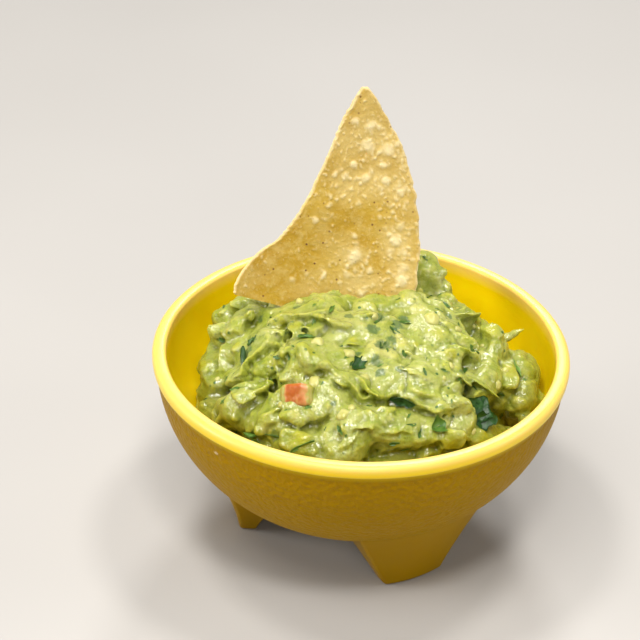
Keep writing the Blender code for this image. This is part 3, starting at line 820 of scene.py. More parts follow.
folded_points = mesh_points(folded)
folded_points = carved(folded_points, BVHTree.FromPolygons(folded_points.tolist(), faces_of(folded)), CREASES)
set_points(folded, folded_points)
print("creases:", len(CREASES))

# %% [markdown]
# Chunks of avocado, two to eight millimetres across, stand out of the mash everywhere. Their places
# are random points of the skin, always from the same seed. Some are long and lie along the
# surface, like torn strips, and a few are pulled to a point where the spoon let go.

# %% Strew chunks
def skin_samples(mesh, count, seed, lowest):
    """Random places on the skin above a level, with their normals, evenly by area."""
    rng = np.random.default_rng(seed)
    centres = np.empty(len(mesh.polygons) * 3)
    normals = np.empty(len(mesh.polygons) * 3)
    areas = np.empty(len(mesh.polygons))
    mesh.polygons.foreach_get("center", centres)
    mesh.polygons.foreach_get("normal", normals)
    mesh.polygons.foreach_get("area", areas)
    centres, normals = centres.reshape(-1, 3) / MM, normals.reshape(-1, 3)
    reach = np.hypot(centres[:, 0], centres[:, 1])
    wanted = (centres[:, 2] > lowest) & (normals[:, 2] > -0.5) & (reach < INNER_RADIUS)
    chance = areas * wanted
    picked = rng.choice(len(areas), count, p=chance / chance.sum())
    return centres[picked], normals[picked], rng


def axes_on(normal, heading):
    a = math.radians(heading)
    along = np.array((math.cos(a), math.sin(a), 0.0))
    if abs(normal @ along) > 0.95:
        along = np.array((-math.sin(a), math.cos(a), 0.3))
    along = along - normal * (along @ normal)
    along /= np.linalg.norm(along)
    return np.array((along, np.cross(normal, along), normal))


chunk_spots = []


def chunks(mesh, count, seed, size_low, size_high, flatness):
    centres, normals, rng = skin_samples(mesh, count, seed, FILL_LEVEL)
    made = []
    for k in range(count):
        size = size_low + (size_high - size_low) * rng.random() ** 2
        sizes = size * np.array((rng.uniform(1.0, 1.9), rng.uniform(0.7, 1.0), flatness * rng.uniform(0.7, 1.2)))
        centre = centres[k] - normals[k] * sizes[2] * rng.uniform(0.0, 0.6)
        axes = axes_on(normals[k], rng.uniform(0, 180))
        made.append(lump(centre, sizes, axes, rng.uniform(2.0, 3.0), size * 0.25, 100 + k, ball=3, wavelength=2.5))
        if size > 1.3:
            chunk_spots.append((*centre, sizes[:2].mean()))
    return made


def torn_flakes(mesh, count, seed):
    """Small torn sheets all over the heap, each with its lower edge lifted."""
    centres, normals, rng = skin_samples(mesh, count, seed, FILL_LEVEL + 2.0)
    made = []
    for k in range(count):
        length = rng.uniform(2.6, 5.6)
        sizes = (length, length * rng.uniform(0.5, 0.8), rng.uniform(0.7, 1.1))
        axes = dome_axes(centres[k], rng.uniform(-60, 60), rng.uniform(-50, -22))
        centre = centres[k] - normals[k] * rng.uniform(0.2, 1.2)
        made.append(sheet(centre, sizes, axes, rng.uniform(0.4, 1.2), 400 + k, 2.6))
    return made


parts = [(folded_points, faces_of(folded))]
parts += chunks(folded, 70, 21, 2.2, 4.4, 0.6)
parts += chunks(folded, 150, 22, 0.9, 1.7, 0.75)
parts += torn_flakes(folded, 80, 23)
for seed, (base, tip, width) in enumerate(POINTS_PULLED):
    parts.append(pulled_point(base, tip, width, 600 + seed))
print("chunks:", len(parts) - 1)

# %% Melt the chunks in and roughen the skin
HEAP_VOXEL = 0.52


def edge_array(mesh):
    flat = np.empty(len(mesh.edges) * 2, dtype=np.int64)
    mesh.edges.foreach_get("vertices", flat)
    return flat.reshape(-1, 2)


def blurred(values, edges, passes):
    """Values averaged with their neighbours', again and again."""
    count = len(values)
    degree = np.bincount(edges.ravel(), minlength=count).astype(float)
    for _ in range(passes):
        total = np.stack(
            [
                np.bincount(edges[:, 0], values[edges[:, 1], c], count)
                + np.bincount(edges[:, 1], values[edges[:, 0], c], count)
                for c in range(values.shape[1])
            ],
            axis=1,
        )
        values = (values + total / degree[:, None]) / 2.0
    return values


def kept_off_wall(points):
    """Points that stray past the wall are drawn back to the gap before it."""
    below = SHELL_LEVEL - RIM_LEVEL - points[:, 2]
    depth = np.clip(below / (INNER_DEPTH - WALL_GAP), 0.0, 0.999)
    limit = (INNER_RADIUS - WALL_GAP) * np.sqrt(1.0 - depth**2)
    reach = np.hypot(points[:, 0], points[:, 1])
    shrink = np.where(reach > limit, limit / np.maximum(reach, 1e-6), 1.0)
    moved = points.copy()
    moved[:, :2] *= shrink[:, None]
    return moved


# Pieces of herb under a thin coat of mash: place from the rim's middle, and size
HERB_PATCHES = (
    (5, -1, 12, 3.2), (3, -7, 12, 2.6), (6, -12.5, 10.5, 3.0), (4.5, -19, 9.5, 2.4), (10, -3, 11, 2.4), (8.5, -10, 10.5, 2.2),
    (12, 0.5, 11.5, 2.2), (-33.5, -10, 2.5, 2.6), (-32, -8.5, 4.5, 2.0), (-25, 0.5, 8.5, 3.0), (-20.5, -4, 9.5, 2.4),
    (-12.5, -3.5, 11.5, 2.2), (20, 21, 5, 2.6), (22.5, 13, 8.5, 3.0), (29, -3, 4, 2.4), (29.5, -11, 3.5, 2.0),
    (-29.5, -32.5, -8.5, 2.6), (-23, -35.5, -6, 2.4), (33, -21, -6, 4.0), (40, -9.5, -7.5, 2.2), (-38, 6, 0, 2.6),
)


def spots_mask(points, spots):
    """How far inside the nearest of some round spots each point lies, 1 at a spot's middle."""
    mask, which = np.zeros(len(points)), np.zeros(len(points))
    for k, (x, y, z, size) in enumerate(spots):
        inside = 1.0 - np.linalg.norm(points - (x, y, z), axis=1) / size
        nearer = inside > mask
        mask[nearer] = inside[nearer]
        which[nearer] = (k * 0.618) % 1.0
    return mask, which


def small_patches():
    centres, _, rng = skin_samples(folded, 60, 24, FILL_LEVEL + 3.0)
    return [(*centre, rng.uniform(0.8, 2.0)) for centre in centres]


def build_heap():
    mesh = remeshed("heap", *joined(parts), voxel=HEAP_VOXEL, smoothing=2, factor=0.5)
    points = mesh_points(mesh)
    warp = np.stack([fractal(points, 13.0, s, 2) for s in (201, 202, 203)], axis=1) * 1.6
    warp += np.stack([fractal(points, 4.2, s, 2) for s in (204, 205, 206)], axis=1) * 0.55
    points = points + warp
    set_points(mesh, points)
    normals = point_normals(mesh)
    crease = 1.0 - np.abs(fractal(points, 11.0, 211, 2)) * 5.0
    points -= normals * np.clip(crease, 0.0, 1.0)[:, None] ** 2 * 0.45
    points += normals * (fractal(points, 2.4, 221, 3) * 0.34)[:, None]
    points = kept_off_wall(points)
    set_points(mesh, points)
    edges = edge_array(mesh)
    normals = point_normals(mesh)
    # How deep each point lies in a hollow, near and wide: the material paints shade from these, and a glow on ridges.
    near = ((blurred(points, edges, 6) - points) * normals).sum(axis=1)
    wide = ((blurred(points, edges, 60) - points) * normals).sum(axis=1)
    chunk, tint = spots_mask(points, chunk_spots)
    herb, _ = spots_mask(points, list(HERB_PATCHES) + small_patches())
    stored = {"hollow_near_painted_light": near, "hollow_wide_painted_shade": wide, "chunk": chunk, "tint": tint, "herb": herb}
    # low is 1 towards the bottom of the heap, where the material paints shade.
    stored["low"] = 1.0 - smooth_step(points[:, 2], -13.0, -1.0)
    for label, values in stored.items():
        layer = mesh.attributes.new(label, "FLOAT", "POINT")
        layer.data.foreach_set("value", values.astype(np.float32))
    set_points(mesh, points + RIM_MIDDLE)
    mesh.shade_smooth()
    print("hollow_near_painted_light", np.percentile(near, (2, 50, 98)).round(2), "hollow_wide_painted_shade", np.percentile(wide, (2, 50, 98)).round(2))
    return mesh


heap_mesh = build_heap()
print("heap faces:", len(heap_mesh.polygons))

# %% [markdown]
# ### Guacamole as a material
# Mashed avocado is a pale yellow-green cream with greener bits from near the skin. Light goes a few
# millimetres into it, which subsurface scattering gives. It is moist, and its wet spots give
# small broken highlights. Shade and glow are painted into the colour from stored values: hollows,
# creases and the low parts by the wall are painted a darker olive, and thin ridges a paler yellow.
# Noise mottles it, and a fine bump breaks the highlights up.

# %% Guacamole material
def make_guacamole():
    material, tree, shader = new_material("guacamole_mash")
    place = object_place(tree)
    near = attribute(tree, "hollow_near_painted_light")
    wide = attribute(tree, "hollow_wide_painted_shade")
    medium = noise_node(tree, place, 300.0, 3.0, 0.6)
    fine = noise_node(tree, place, 900.0, 3.0, 0.6)
    green, cream = (0.262, 0.300, 0.028, 1), (0.380, 0.402, 0.102, 1)
    colour, _ = mottled(tree, place, 75.0, green, cream, Detail=3.0, Breakup=0.55)
    colour = mixed(tree, mapped(tree, medium, 0.52, 0.70, 0.0, 0.5), colour, (0.47, 0.46, 0.14, 1))
    colour = mixed(tree, mapped(tree, medium, 0.46, 0.30, 0.0, 0.6), colour, (0.19, 0.24, 0.012, 1))
    chunk = attribute(tree, "chunk")
    pale = mixed(tree, mapped(tree, attribute(tree, "tint"), 0.35, 0.65), (0.38, 0.37, 0.012, 1), (0.50, 0.48, 0.14, 1))
    colour = mixed(tree, mapped(tree, chunk, 0.10, 0.40, 0.0, 0.75), colour, pale)
    ragged = math_node(tree, "ADD", attribute(tree, "herb"), mapped(tree, noise_node(tree, place, 420.0, 3.0, 0.7), 0.3, 0.7, -0.42, 0.18))
    colour = mixed(tree, mapped(tree, ragged, 0.02, 0.30, 0.0, 0.80), colour, (0.070, 0.135, 0.040, 1))
    # Painted shade: the mash is coloured darker and yellower towards the bottom of the heap, by the wall.
    colour = mixed(tree, mapped(tree, attribute(tree, "low"), 0.0, 0.9, 0.0, 0.85), colour, (0.175, 0.180, 0.003, 1))
    # Painted shade: hollows and creases, near and wide, are coloured a dark olive.
    colour = mixed(tree, mapped(tree, near, 0.03, 0.22, 0.0, 0.88), colour, (0.110, 0.135, 0.002, 1))
    colour = mixed(tree, mapped(tree, wide, 0.15, 1.4, 0.0, 0.75), colour, (0.165, 0.175, 0.001, 1))
    # Painted light: thin ridges are coloured a paler yellow, a painted glow of light through the thin mash.
    colour = mixed(tree, mapped(tree, near, -0.03, -0.18, 0.0, 0.5), colour, (0.47, 0.45, 0.055, 1))
    flecks = node(tree, "ShaderNodeTexVoronoi", {"Vector": place, "Scale": 330.0}).outputs["Distance"]
    fleck_zone = mapped(tree, noise_node(tree, place, 120.0, 2.0), 0.50, 0.62)
    fleck_mask = math_node(tree, "MULTIPLY", mapped(tree, flecks, 0.20, 0.12), fleck_zone)
    colour = mixed(tree, fleck_mask, colour, (0.05, 0.12, 0.02, 1))
    height = math_node(tree, "ADD", fine, math_node(tree, "MULTIPLY", medium, 1.6))
    connect(tree, colour, shader, "Base Color")
    connect(tree, bump(tree, height, 0.0008, 0.6), shader, "Normal")
    wet = mapped(tree, noise_node(tree, place, 150.0, 3.0, 0.6), 0.40, 0.52, 0.25, 1.0)
    ripples = noise_node(tree, place, 760.0, 2.0, 0.5)
    connect(tree, wet, shader, "Coat Weight")
    connect(tree, bump(tree, ripples, 0.00042, 1.0), shader, "Coat Normal")
    shader.inputs["Roughness"].default_value = 0.55
    shader.inputs["Coat Roughness"].default_value = 0.09
    shader.inputs["Coat IOR"].default_value = 1.6
    shader.inputs["Subsurface Weight"].default_value = 0.5
    shader.inputs["Subsurface Radius"].default_value = (1.0, 0.9, 0.2)
    shader.inputs["Subsurface Scale"].default_value = 0.0025
    shader.inputs["Specular IOR Level"].default_value = 0.22
    return material


mash = make_guacamole()
heap = bpy.data.objects.new("guacamole_heap", heap_mesh)
bpy.context.scene.collection.objects.link(heap)
heap.data.materials.clear()
heap.data.materials.append(mash)
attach(heap, "root")
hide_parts("guacamole")
print("material:", mash.name)

# %% [markdown]
# ## The tortilla chip
# The chip is a wedge cut from a corn tortilla and fried. Frying curled it, raised pale blisters
# where steam lifted the skin, and browned the flat parts between them to gold. The cut edges puffed
# and stay pale. Dark specks are bits of husk.
#
# It is a fine grid over the same outline as its CAD solid, pushed out where the blisters are. The
# height of the blisters and the distance from the edge are stored, for the colour to follow.

# %% Chip sizes
CHIP_THICKNESS = 1.6
CHIP_FOOT = np.array((2.0, 15.0, 62.5))
CHIP_YAW = math.radians(12.0)
CHIP_LEAN = math.radians(18.0)
CHIP_TIP_LEFT = (-0.9, 66.6)
CHIP_TIP_RIGHT = (0.9, 66.6)
CHIP_SHOULDER = (-31.0, 21.8)
CHIP_LEFT = (-38.5, 9.3)
CHIP_BASE = (8.5, -10.5)
CHIP_LEFT_EDGE = ((-11.1, 52.3), (-17.0, 26.5))
CHIP_CORNER = ((-35.5, 20.2), (-44.5, 9.6))
CHIP_RIGHT_EDGE = ((21.2, 36.1), (15.4, 9.6))
CHIP_ROWS = 230
CHIP_COLUMNS = 130
CHIP_SHOULDER_ROW = 0.75
ACROSS = np.array((math.cos(CHIP_YAW), math.sin(CHIP_YAW), 0.0))
AWAY = np.array((-math.sin(CHIP_YAW), math.cos(CHIP_YAW), 0.0))
UPWARD = np.array((0.0, 0.0, math.cos(CHIP_LEAN))) + AWAY * math.sin(CHIP_LEAN)
TOWARDS = np.cross(ACROSS, UPWARD)


def bezier(start, handles, end, t):
    t = np.asarray(t)[:, None]
    first, second = (np.array(h) for h in handles)
    start, end = np.array(start), np.array(end)
    return (1 - t) ** 3 * start + 3 * (1 - t) ** 2 * t * first + 3 * (1 - t) * t**2 * second + t**3 * end


def chip_outline():
    """The left and the right edge of every row, from the tip to the buried edge."""
    rows = np.linspace(0, 1, CHIP_ROWS)
    hollow = rows[rows <= CHIP_SHOULDER_ROW] / CHIP_SHOULDER_ROW
    corner = (rows[rows > CHIP_SHOULDER_ROW] - CHIP_SHOULDER_ROW) / (1 - CHIP_SHOULDER_ROW)
    left = np.vstack(
        [
            bezier(CHIP_TIP_LEFT, CHIP_LEFT_EDGE, CHIP_SHOULDER, hollow),
            bezier(CHIP_SHOULDER, CHIP_CORNER, CHIP_LEFT, corner),
        ]
    )
    return left, bezier(CHIP_TIP_RIGHT, CHIP_RIGHT_EDGE, CHIP_BASE, rows)


chip_left, chip_right = chip_outline()
print("chip edge lengths, mm:", np.linalg.norm(np.diff(chip_right, axis=0), axis=1).sum().round(1))

# %% Blisters
# Where blisters crowd together on the chip's face: centre across and up, reach both ways (mm), and
# how strongly
BLISTER_CROWDS = (
    (2, 52, 10, 9, 1.0), (0, 40, 14, 7, 0.8), (10, 39, 5, 12, 0.7), (8, 21, 6, 6, 0.9), (10, 8, 5, 9, 0.8),
    (-4, 17, 5, 3.5, 1.0), (-3, 10, 8, 5, 0.6), (-13, 9, 7, 5, 0.4), (-37, 12, 4, 4, 0.4),
)
# Soft puffs that stand out by themselves: centre and half length
SINGLE_PUFFS = (
    (-4.1, 16.9, 3.4), (-15, 28.7, 1.7), (-3.9, 23.3, 1.5), (8.0, 21.0, 2.3), (1.5, 55.2, 2.2), (-3, 57, 1.6),
    (6.5, 48, 2.6), (0.5, 49.5, 2.6), (9.5, 50, 2.0), (-3.5, 44, 1.4), (0, 40, 2.0), (-9, 41.5, 1.5), (5.5, 39, 1.7),
    (9.5, 35.5, 1.8), (0.2, 12.5, 1.8), (9, 9, 2.6), (-13.5, 12, 1.6), (5, 43.5, 1.8),
)


def crowding(flat):
    """How crowded the blisters are at places of the chip's plane, 0 to 1."""
    most = np.zeros(len(flat))
    for x, y, width, height, strength in BLISTER_CROWDS:
        near = np.exp(-(((flat[:, 0] - x) / width) ** 2) - ((flat[:, 1] - y) / height) ** 2)
        most = np.maximum(most, strength * near)
    return most


def blister_field(flat):
    """Height of the puffed skin at places of the chip's plane: single soft puffs, and blisters of
    three sizes that are many where they crowd and few elsewhere."""
    rng = np.random.default_rng(31)
    height = np.zeros(len(flat))
    low, high = flat.min(axis=0), flat.max(axis=0)
    solid = np.stack([flat[:, 0], flat[:, 1], np.zeros(len(flat))], axis=1)
    bent = flat + np.stack([fractal(solid, 2.2, 33, 3), fractal(solid, 2.2, 37, 3)], axis=1) * 0.75
    blisters = [(x, y, size, 0.34) for x, y, size in SINGLE_PUFFS]
    for count, size_low, size_high, rise in ((260, 1.0, 2.1, 0.24), (1300, 0.5, 1.15, 0.25), (3200, 0.25, 0.6, 0.16)):
        places = np.stack([rng.uniform(low[0], high[0], count), rng.uniform(low[1], high[1], count)], axis=1)
        keep = rng.random(count) < 0.04 + (0.45 + 0.5 * (size_high < 2.0)) * crowding(places) + 0.16 * (size_high < 1.0)
        sizes, lifts = rng.uniform(size_low, size_high, count), rise * rng.uniform(0.45, 1.0, count)
        blisters += [(*places[k], sizes[k], lifts[k]) for k in np.flatnonzero(keep)]
    for x, y, size, lift in blisters:
        stretch, turned = rng.uniform(0.55, 1.0), rng.uniform(0, math.pi)
        dx, dy = bent[:, 0] - x, bent[:, 1] - y
        u = (dx * math.cos(turned) + dy * math.sin(turned)) / size
        v = (dy * math.cos(turned) - dx * math.sin(turned)) / (size * stretch)
        height += lift * np.clip(1.0 - u * u - v * v, 0.0, None) ** 1.5
    return 0.55 * np.tanh(height / 0.55)


def build_chip(material):
    share = np.linspace(0, 1, CHIP_COLUMNS)
    share = share - 0.06 * np.sin(2 * np.pi * share) / np.pi
    rng_place = np.stack([np.zeros(CHIP_ROWS), np.arange(CHIP_ROWS) * 0.33, np.zeros(CHIP_ROWS)], axis=1)
    row_way = chip_right - chip_left
    row_width = np.linalg.norm(row_way, axis=1)
    row_way = row_way / row_width[:, None]
    left = chip_left + row_way * (fractal(rng_place, 2.0, 41, 3) * 0.55)[:, None]
    right = chip_right + row_way * (fractal(rng_place, 2.0, 45, 3) * 0.55)[:, None]
    flat = (left[:, None, :] * (1 - share)[None, :, None] + right[:, None, :] * share[None, :, None]).reshape(-1, 2)
    width = np.repeat(row_width, CHIP_COLUMNS)
    from_side = np.minimum(np.tile(share, CHIP_ROWS), np.tile(1 - share, CHIP_ROWS)) * width
    from_tip = np.repeat(np.linspace(0, 1, CHIP_ROWS), CHIP_COLUMNS) * 78.0
    from_edge = np.minimum(np.minimum(from_side, from_tip + 0.05), 78.0 - from_tip + 0.05)
    x, y = flat[:, 0], flat[:, 1]
    curl = 5.0 * ((x + 9.0) / 28.0) ** 2 + 2.6 * ((y - 22.0) / 44.0) ** 2
    solid = np.stack([x, y, np.zeros(len(x))], axis=1)
    curl = curl + fractal(solid, 16.0, 51, 2) * 0.55
    middle = CHIP_FOOT + np.outer(x, ACROSS) + np.outer(y, UPWARD) + np.outer(curl, TOWARDS)
    rounded = np.sqrt(np.clip(1.0 - np.clip(1.0 - from_edge / 0.7, 0, 1) ** 2, 0, 1))
    puff = np.exp(-((from_edge - 0.6) / 0.5) ** 2) * (0.02 + 0.30 * fractal(solid, 1.7, 55, 3))
    fine = fractal(solid, 0.9, 57, 2) * 0.06 + fractal(solid, 4.0, 59, 2) * 0.14
    front_rise = blister_field(flat)
    back_rise = blister_field(np.stack([-x - 12.0, y], axis=1))
    front = middle + np.outer((CHIP_THICKNESS / 2 + front_rise + puff + fine) * rounded, TOWARDS)
    back = middle - np.outer((CHIP_THICKNESS / 2 + back_rise * 0.8 + puff + fine) * rounded, TOWARDS)
    grid = np.arange(CHIP_ROWS * CHIP_COLUMNS).reshape(CHIP_ROWS, CHIP_COLUMNS)
    a, b = grid[:-1, :-1].ravel(), grid[1:, :-1].ravel()
    quads = np.stack([a, b, b + 1, a + 1], axis=1)
    shift = CHIP_ROWS * CHIP_COLUMNS
    ring = np.concatenate([grid[0, :], grid[1:, -1], grid[-1, -2::-1], grid[-2:0:-1, 0]])
    after = np.roll(ring, -1)
    rim = np.stack([ring, after, after + shift, ring + shift], axis=1)
    faces = np.vstack([quads, quads[:, ::-1] + shift, rim]).tolist()
    stored = {
        "blister": np.concatenate([front_rise, back_rise]),
        "crowd": np.tile(np.clip(crowding(flat) + fractal(solid, 7.0, 61, 3) * 0.5, 0, 1), 2),
        "from_edge": np.concatenate([from_edge, from_edge]),
    }
    chip = make_object("fried_chip", np.vstack([front, back]), faces, material, stored)
    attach(chip, "root")
    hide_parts("tortilla_chip")
    return chip


print("chip maker ready")

# %% [markdown]
# ### Fried corn
# The colour starts from gold. Blisters and the edge are paler, because their skin lifted off the
# hot oil's browning. Two scales of noise mottle it, and a few cells of a pattern of points turn into
# dark specks. The surface is dry, with a faint sheen of oil.

# %% Chip material
def make_fried_corn():
    material, tree, shader = new_material("fried_corn")
    place = object_place(tree)
    blister = attribute(tree, "blister")
    from_edge = attribute(tree, "from_edge")
    gold, straw = (0.43, 0.245, 0.007, 1), (0.50, 0.315, 0.022, 1)
    colour, broad = mottled(tree, place, 55.0, gold, straw, Low=0.36, High=0.62, Detail=3.0, Breakup=0.55)
    medium = noise_node(tree, place, 330.0, 3.0, 0.6)
    fine = noise_node(tree, place, 1100.0, 2.0, 0.6)
    crowd = attribute(tree, "crowd")
    colour = mixed(tree, mapped(tree, crowd, 0.0, 0.75, 0.0, 0.85), colour, (0.62, 0.455, 0.145, 1))
    colour = mixed(tree, mapped(tree, medium, 0.46, 0.68, 0.0, 0.55), colour, (0.60, 0.43, 0.12, 1))
    colour = mixed(tree, mapped(tree, fine, 0.54, 0.72, 0.0, 0.30), colour, (0.68, 0.54, 0.22, 1))
    colour = mixed(tree, mapped(tree, blister, 0.02, 0.30, 0.0, 0.85), colour, (0.78, 0.65, 0.35, 1))
    edge = math_node(tree, "ADD", from_edge, mapped(tree, medium, 0.3, 0.7, -0.5, 0.5))
    colour = mixed(tree, mapped(tree, edge, 1.0, 0.3, 0.0, 0.60), colour, (0.72, 0.58, 0.30, 1))
    specks = node(tree, "ShaderNodeTexVoronoi", {"Vector": place, "Scale": 430.0, "Randomness": 1.0})
    lucky = mapped(tree, node(tree, "ShaderNodeSeparateColor", {0: specks.outputs["Color"]}).outputs[0], 0.40, 0.62)
    lucky = math_node(tree, "MULTIPLY", lucky, mapped(tree, crowd, 0.75, 0.15, 0.12, 1.0))
    speck = math_node(tree, "MULTIPLY", mapped(tree, specks.outputs["Distance"], 0.18, 0.09), lucky)
    colour = mixed(tree, speck, colour, (0.15, 0.055, 0.010, 1))
    height = math_node(tree, "ADD", math_node(tree, "MULTIPLY", medium, 1.6), fine)
    connect(tree, colour, shader, "Base Color")
    connect(tree, mapped(tree, broad, 0.3, 0.7, 0.62, 0.48), shader, "Roughness")
    connect(tree, bump(tree, height, 0.00022, 0.6), shader, "Normal")
    shader.inputs["Subsurface Weight"].default_value = 0.15
    shader.inputs["Subsurface Radius"].default_value = (1.0, 0.7, 0.3)
    shader.inputs["Subsurface Scale"].default_value = 0.0012
    return material


chip = build_chip(make_fried_corn())
print("chip faces:", len(chip.data.polygons))

# %% [markdown]
# ## Tomato
# One cube of tomato lies in the front left of the heap with guacamole over its right and lower
# side. Its cut face is wet, orange-red flesh with paler veins.

# %% Tomato cube
TOMATO_CENTRE = np.array((-16.8, -28.4, 2.7)) + RIM_MIDDLE
TOMATO_SIDES = np.array((9.6, 7.0, 6.5))
TOMATO_TURN = (-38.0, -12.0, -14.0)


def make_tomato_flesh():
    material, tree, shader = new_material("tomato_flesh")
    place = object_place(tree)
    streaks = node(tree, "ShaderNodeMapping", {"Vector": place, "Scale": (1.0, 0.25, 0.3)}).outputs[0]
    vein = noise_node(tree, streaks, 420.0, 2.0)
    smear = math_node(tree, "ADD", attribute(tree, "smear"), mapped(tree, noise_node(tree, place, 380.0), 0.3, 0.7, -0.3, 0.3))
    colour, _ = mottled(tree, place, 170.0, (0.37, 0.075, 0.006, 1), (0.46, 0.145, 0.016, 1))
    colour = mixed(tree, mapped(tree, vein, 0.60, 0.68, 0.0, 0.7), colour, (0.56, 0.29, 0.09, 1))
    colour = mixed(tree, mapped(tree, smear, 0.1, 0.6, 0.0, 0.6), colour, (0.62, 0.34, 0.14, 1))
    colour = mixed(tree, mapped(tree, smear, 0.6, 0.9, 0.0, 0.9), colour, (0.33, 0.33, 0.05, 1))
    connect(tree, colour, shader, "Base Color")
    connect(tree, mapped(tree, vein, 0.3, 0.7, 0.26, 0.42), shader, "Roughness")
    connect(tree, bump(tree, noise_node(tree, place, 700.0), 0.0003, 0.5), shader, "Normal")
    shader.inputs["Subsurface Weight"].default_value = 0.4
    shader.inputs["Subsurface Radius"].default_value = (1.0, 0.4, 0.2)
    shader.inputs["Subsurface Scale"].default_value = 0.003
    return material


def build_tomato():
    directions, faces = unit_sphere(6)
    reach = (np.abs(directions) ** 5.0).sum(axis=1) ** (-1.0 / 5.0)
    local = directions * reach[:, None] * TOMATO_SIDES / 2
    turned = Matrix.Rotation(math.radians(TOMATO_TURN[2]), 3, "Z")
    turned = turned @ Matrix.Rotation(math.radians(TOMATO_TURN[1]), 3, "Y")
    turned = turned @ Matrix.Rotation(math.radians(TOMATO_TURN[0]), 3, "X")
    points = local @ np.array(turned).T + TOMATO_CENTRE
    points += directions @ np.array(turned).T * (fractal(points, 4.0, 71, 3) * 0.45)[:, None]
    from_left = local[:, 0] / TOMATO_SIDES[0]
    smear = np.maximum(smooth_step(from_left, 0.0, 0.55), smooth_step(from_left, -0.18, -0.36))
    tomato = make_object("tomato_piece", points, faces, make_tomato_flesh(), {"smear": smear})
    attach(tomato, "root")
    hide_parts("tomato_cube")
    return tomato


tomato = build_tomato()
print("tomato faces:", len(tomato.data.polygons))

# %% [markdown]
# ## Cilantro
# Torn cilantro leaves lie in the mash, from whole leaflets down to shreds. The larger ones are
# placed one by one where they show, and the shreds are strewn over the skin. Each is a thin curved
# sheet with a lobed edge, laid along the skin and sunk into it a little.

# %% Leaves
heap_points = mesh_points(heap_mesh)
heap_skin = BVHTree.FromPolygons(heap_points.tolist(), faces_of(heap_mesh))


def on_skin(place):
    """The skin's nearest point to a place given from the rim's middle, and the normal there."""
    point, normal, _, _ = heap_skin.find_nearest(Vector(np.array(place, dtype=float) + RIM_MIDDLE))
    return np.array(point), np.array(normal)


def leaf(length, width, lobes, curl, bend, seed, columns=15, rows=7):
    """A thin lobed sheet round the origin: x along it, y across, z up."""
    rng = np.random.default_rng(seed)
    u = np.linspace(0.0, 1.0, columns)
    phase = rng.uniform(0, 6.28, 2)
    sides = []
    for side in (0, 1):
        edge = np.sin(np.pi * np.clip(u, 0.02, 0.98)) ** 0.55
        edge *= 1.0 + 0.24 * np.sin(lobes * 6.28 * u + phase[side]) + 0.10 * np.sin(lobes * 15.0 * u)
        sides.append(edge * width / 2)
    v = np.linspace(-1.0, 1.0, rows)
    x = np.repeat((u - 0.5) * length, rows)
    reach = np.where(v[None, :] < 0, sides[0][:, None], sides[1][:, None])
    y = (reach * v[None, :]).ravel()
    z = curl * (y / (width / 2)) ** 2 + bend * (x / (length / 2)) ** 2
    z = z + 0.06 * length * np.sin(x / length * 9.0 + phase[0]) * (y / width)
    top = np.stack([x, y, z + 0.09], axis=1)
    under = np.stack([x, y, z - 0.09], axis=1)
    grid = np.arange(columns * rows).reshape(columns, rows)
    a, b = grid[:-1, :-1].ravel(), grid[1:, :-1].ravel()
    quads = np.stack([a, b, b + 1, a + 1], axis=1)
    shift = columns * rows
    ring = np.concatenate([grid[0, :], grid[1:, -1], grid[-1, -2::-1], grid[-2:0:-1, 0]])
    after = np.roll(ring, -1)
    rim = np.stack([ring, ring + shift, after + shift, after], axis=1)
    faces = np.vstack([quads, quads[:, ::-1] + shift, rim])
    return np.vstack([top, under]), [tuple(f) for f in faces.tolist()]


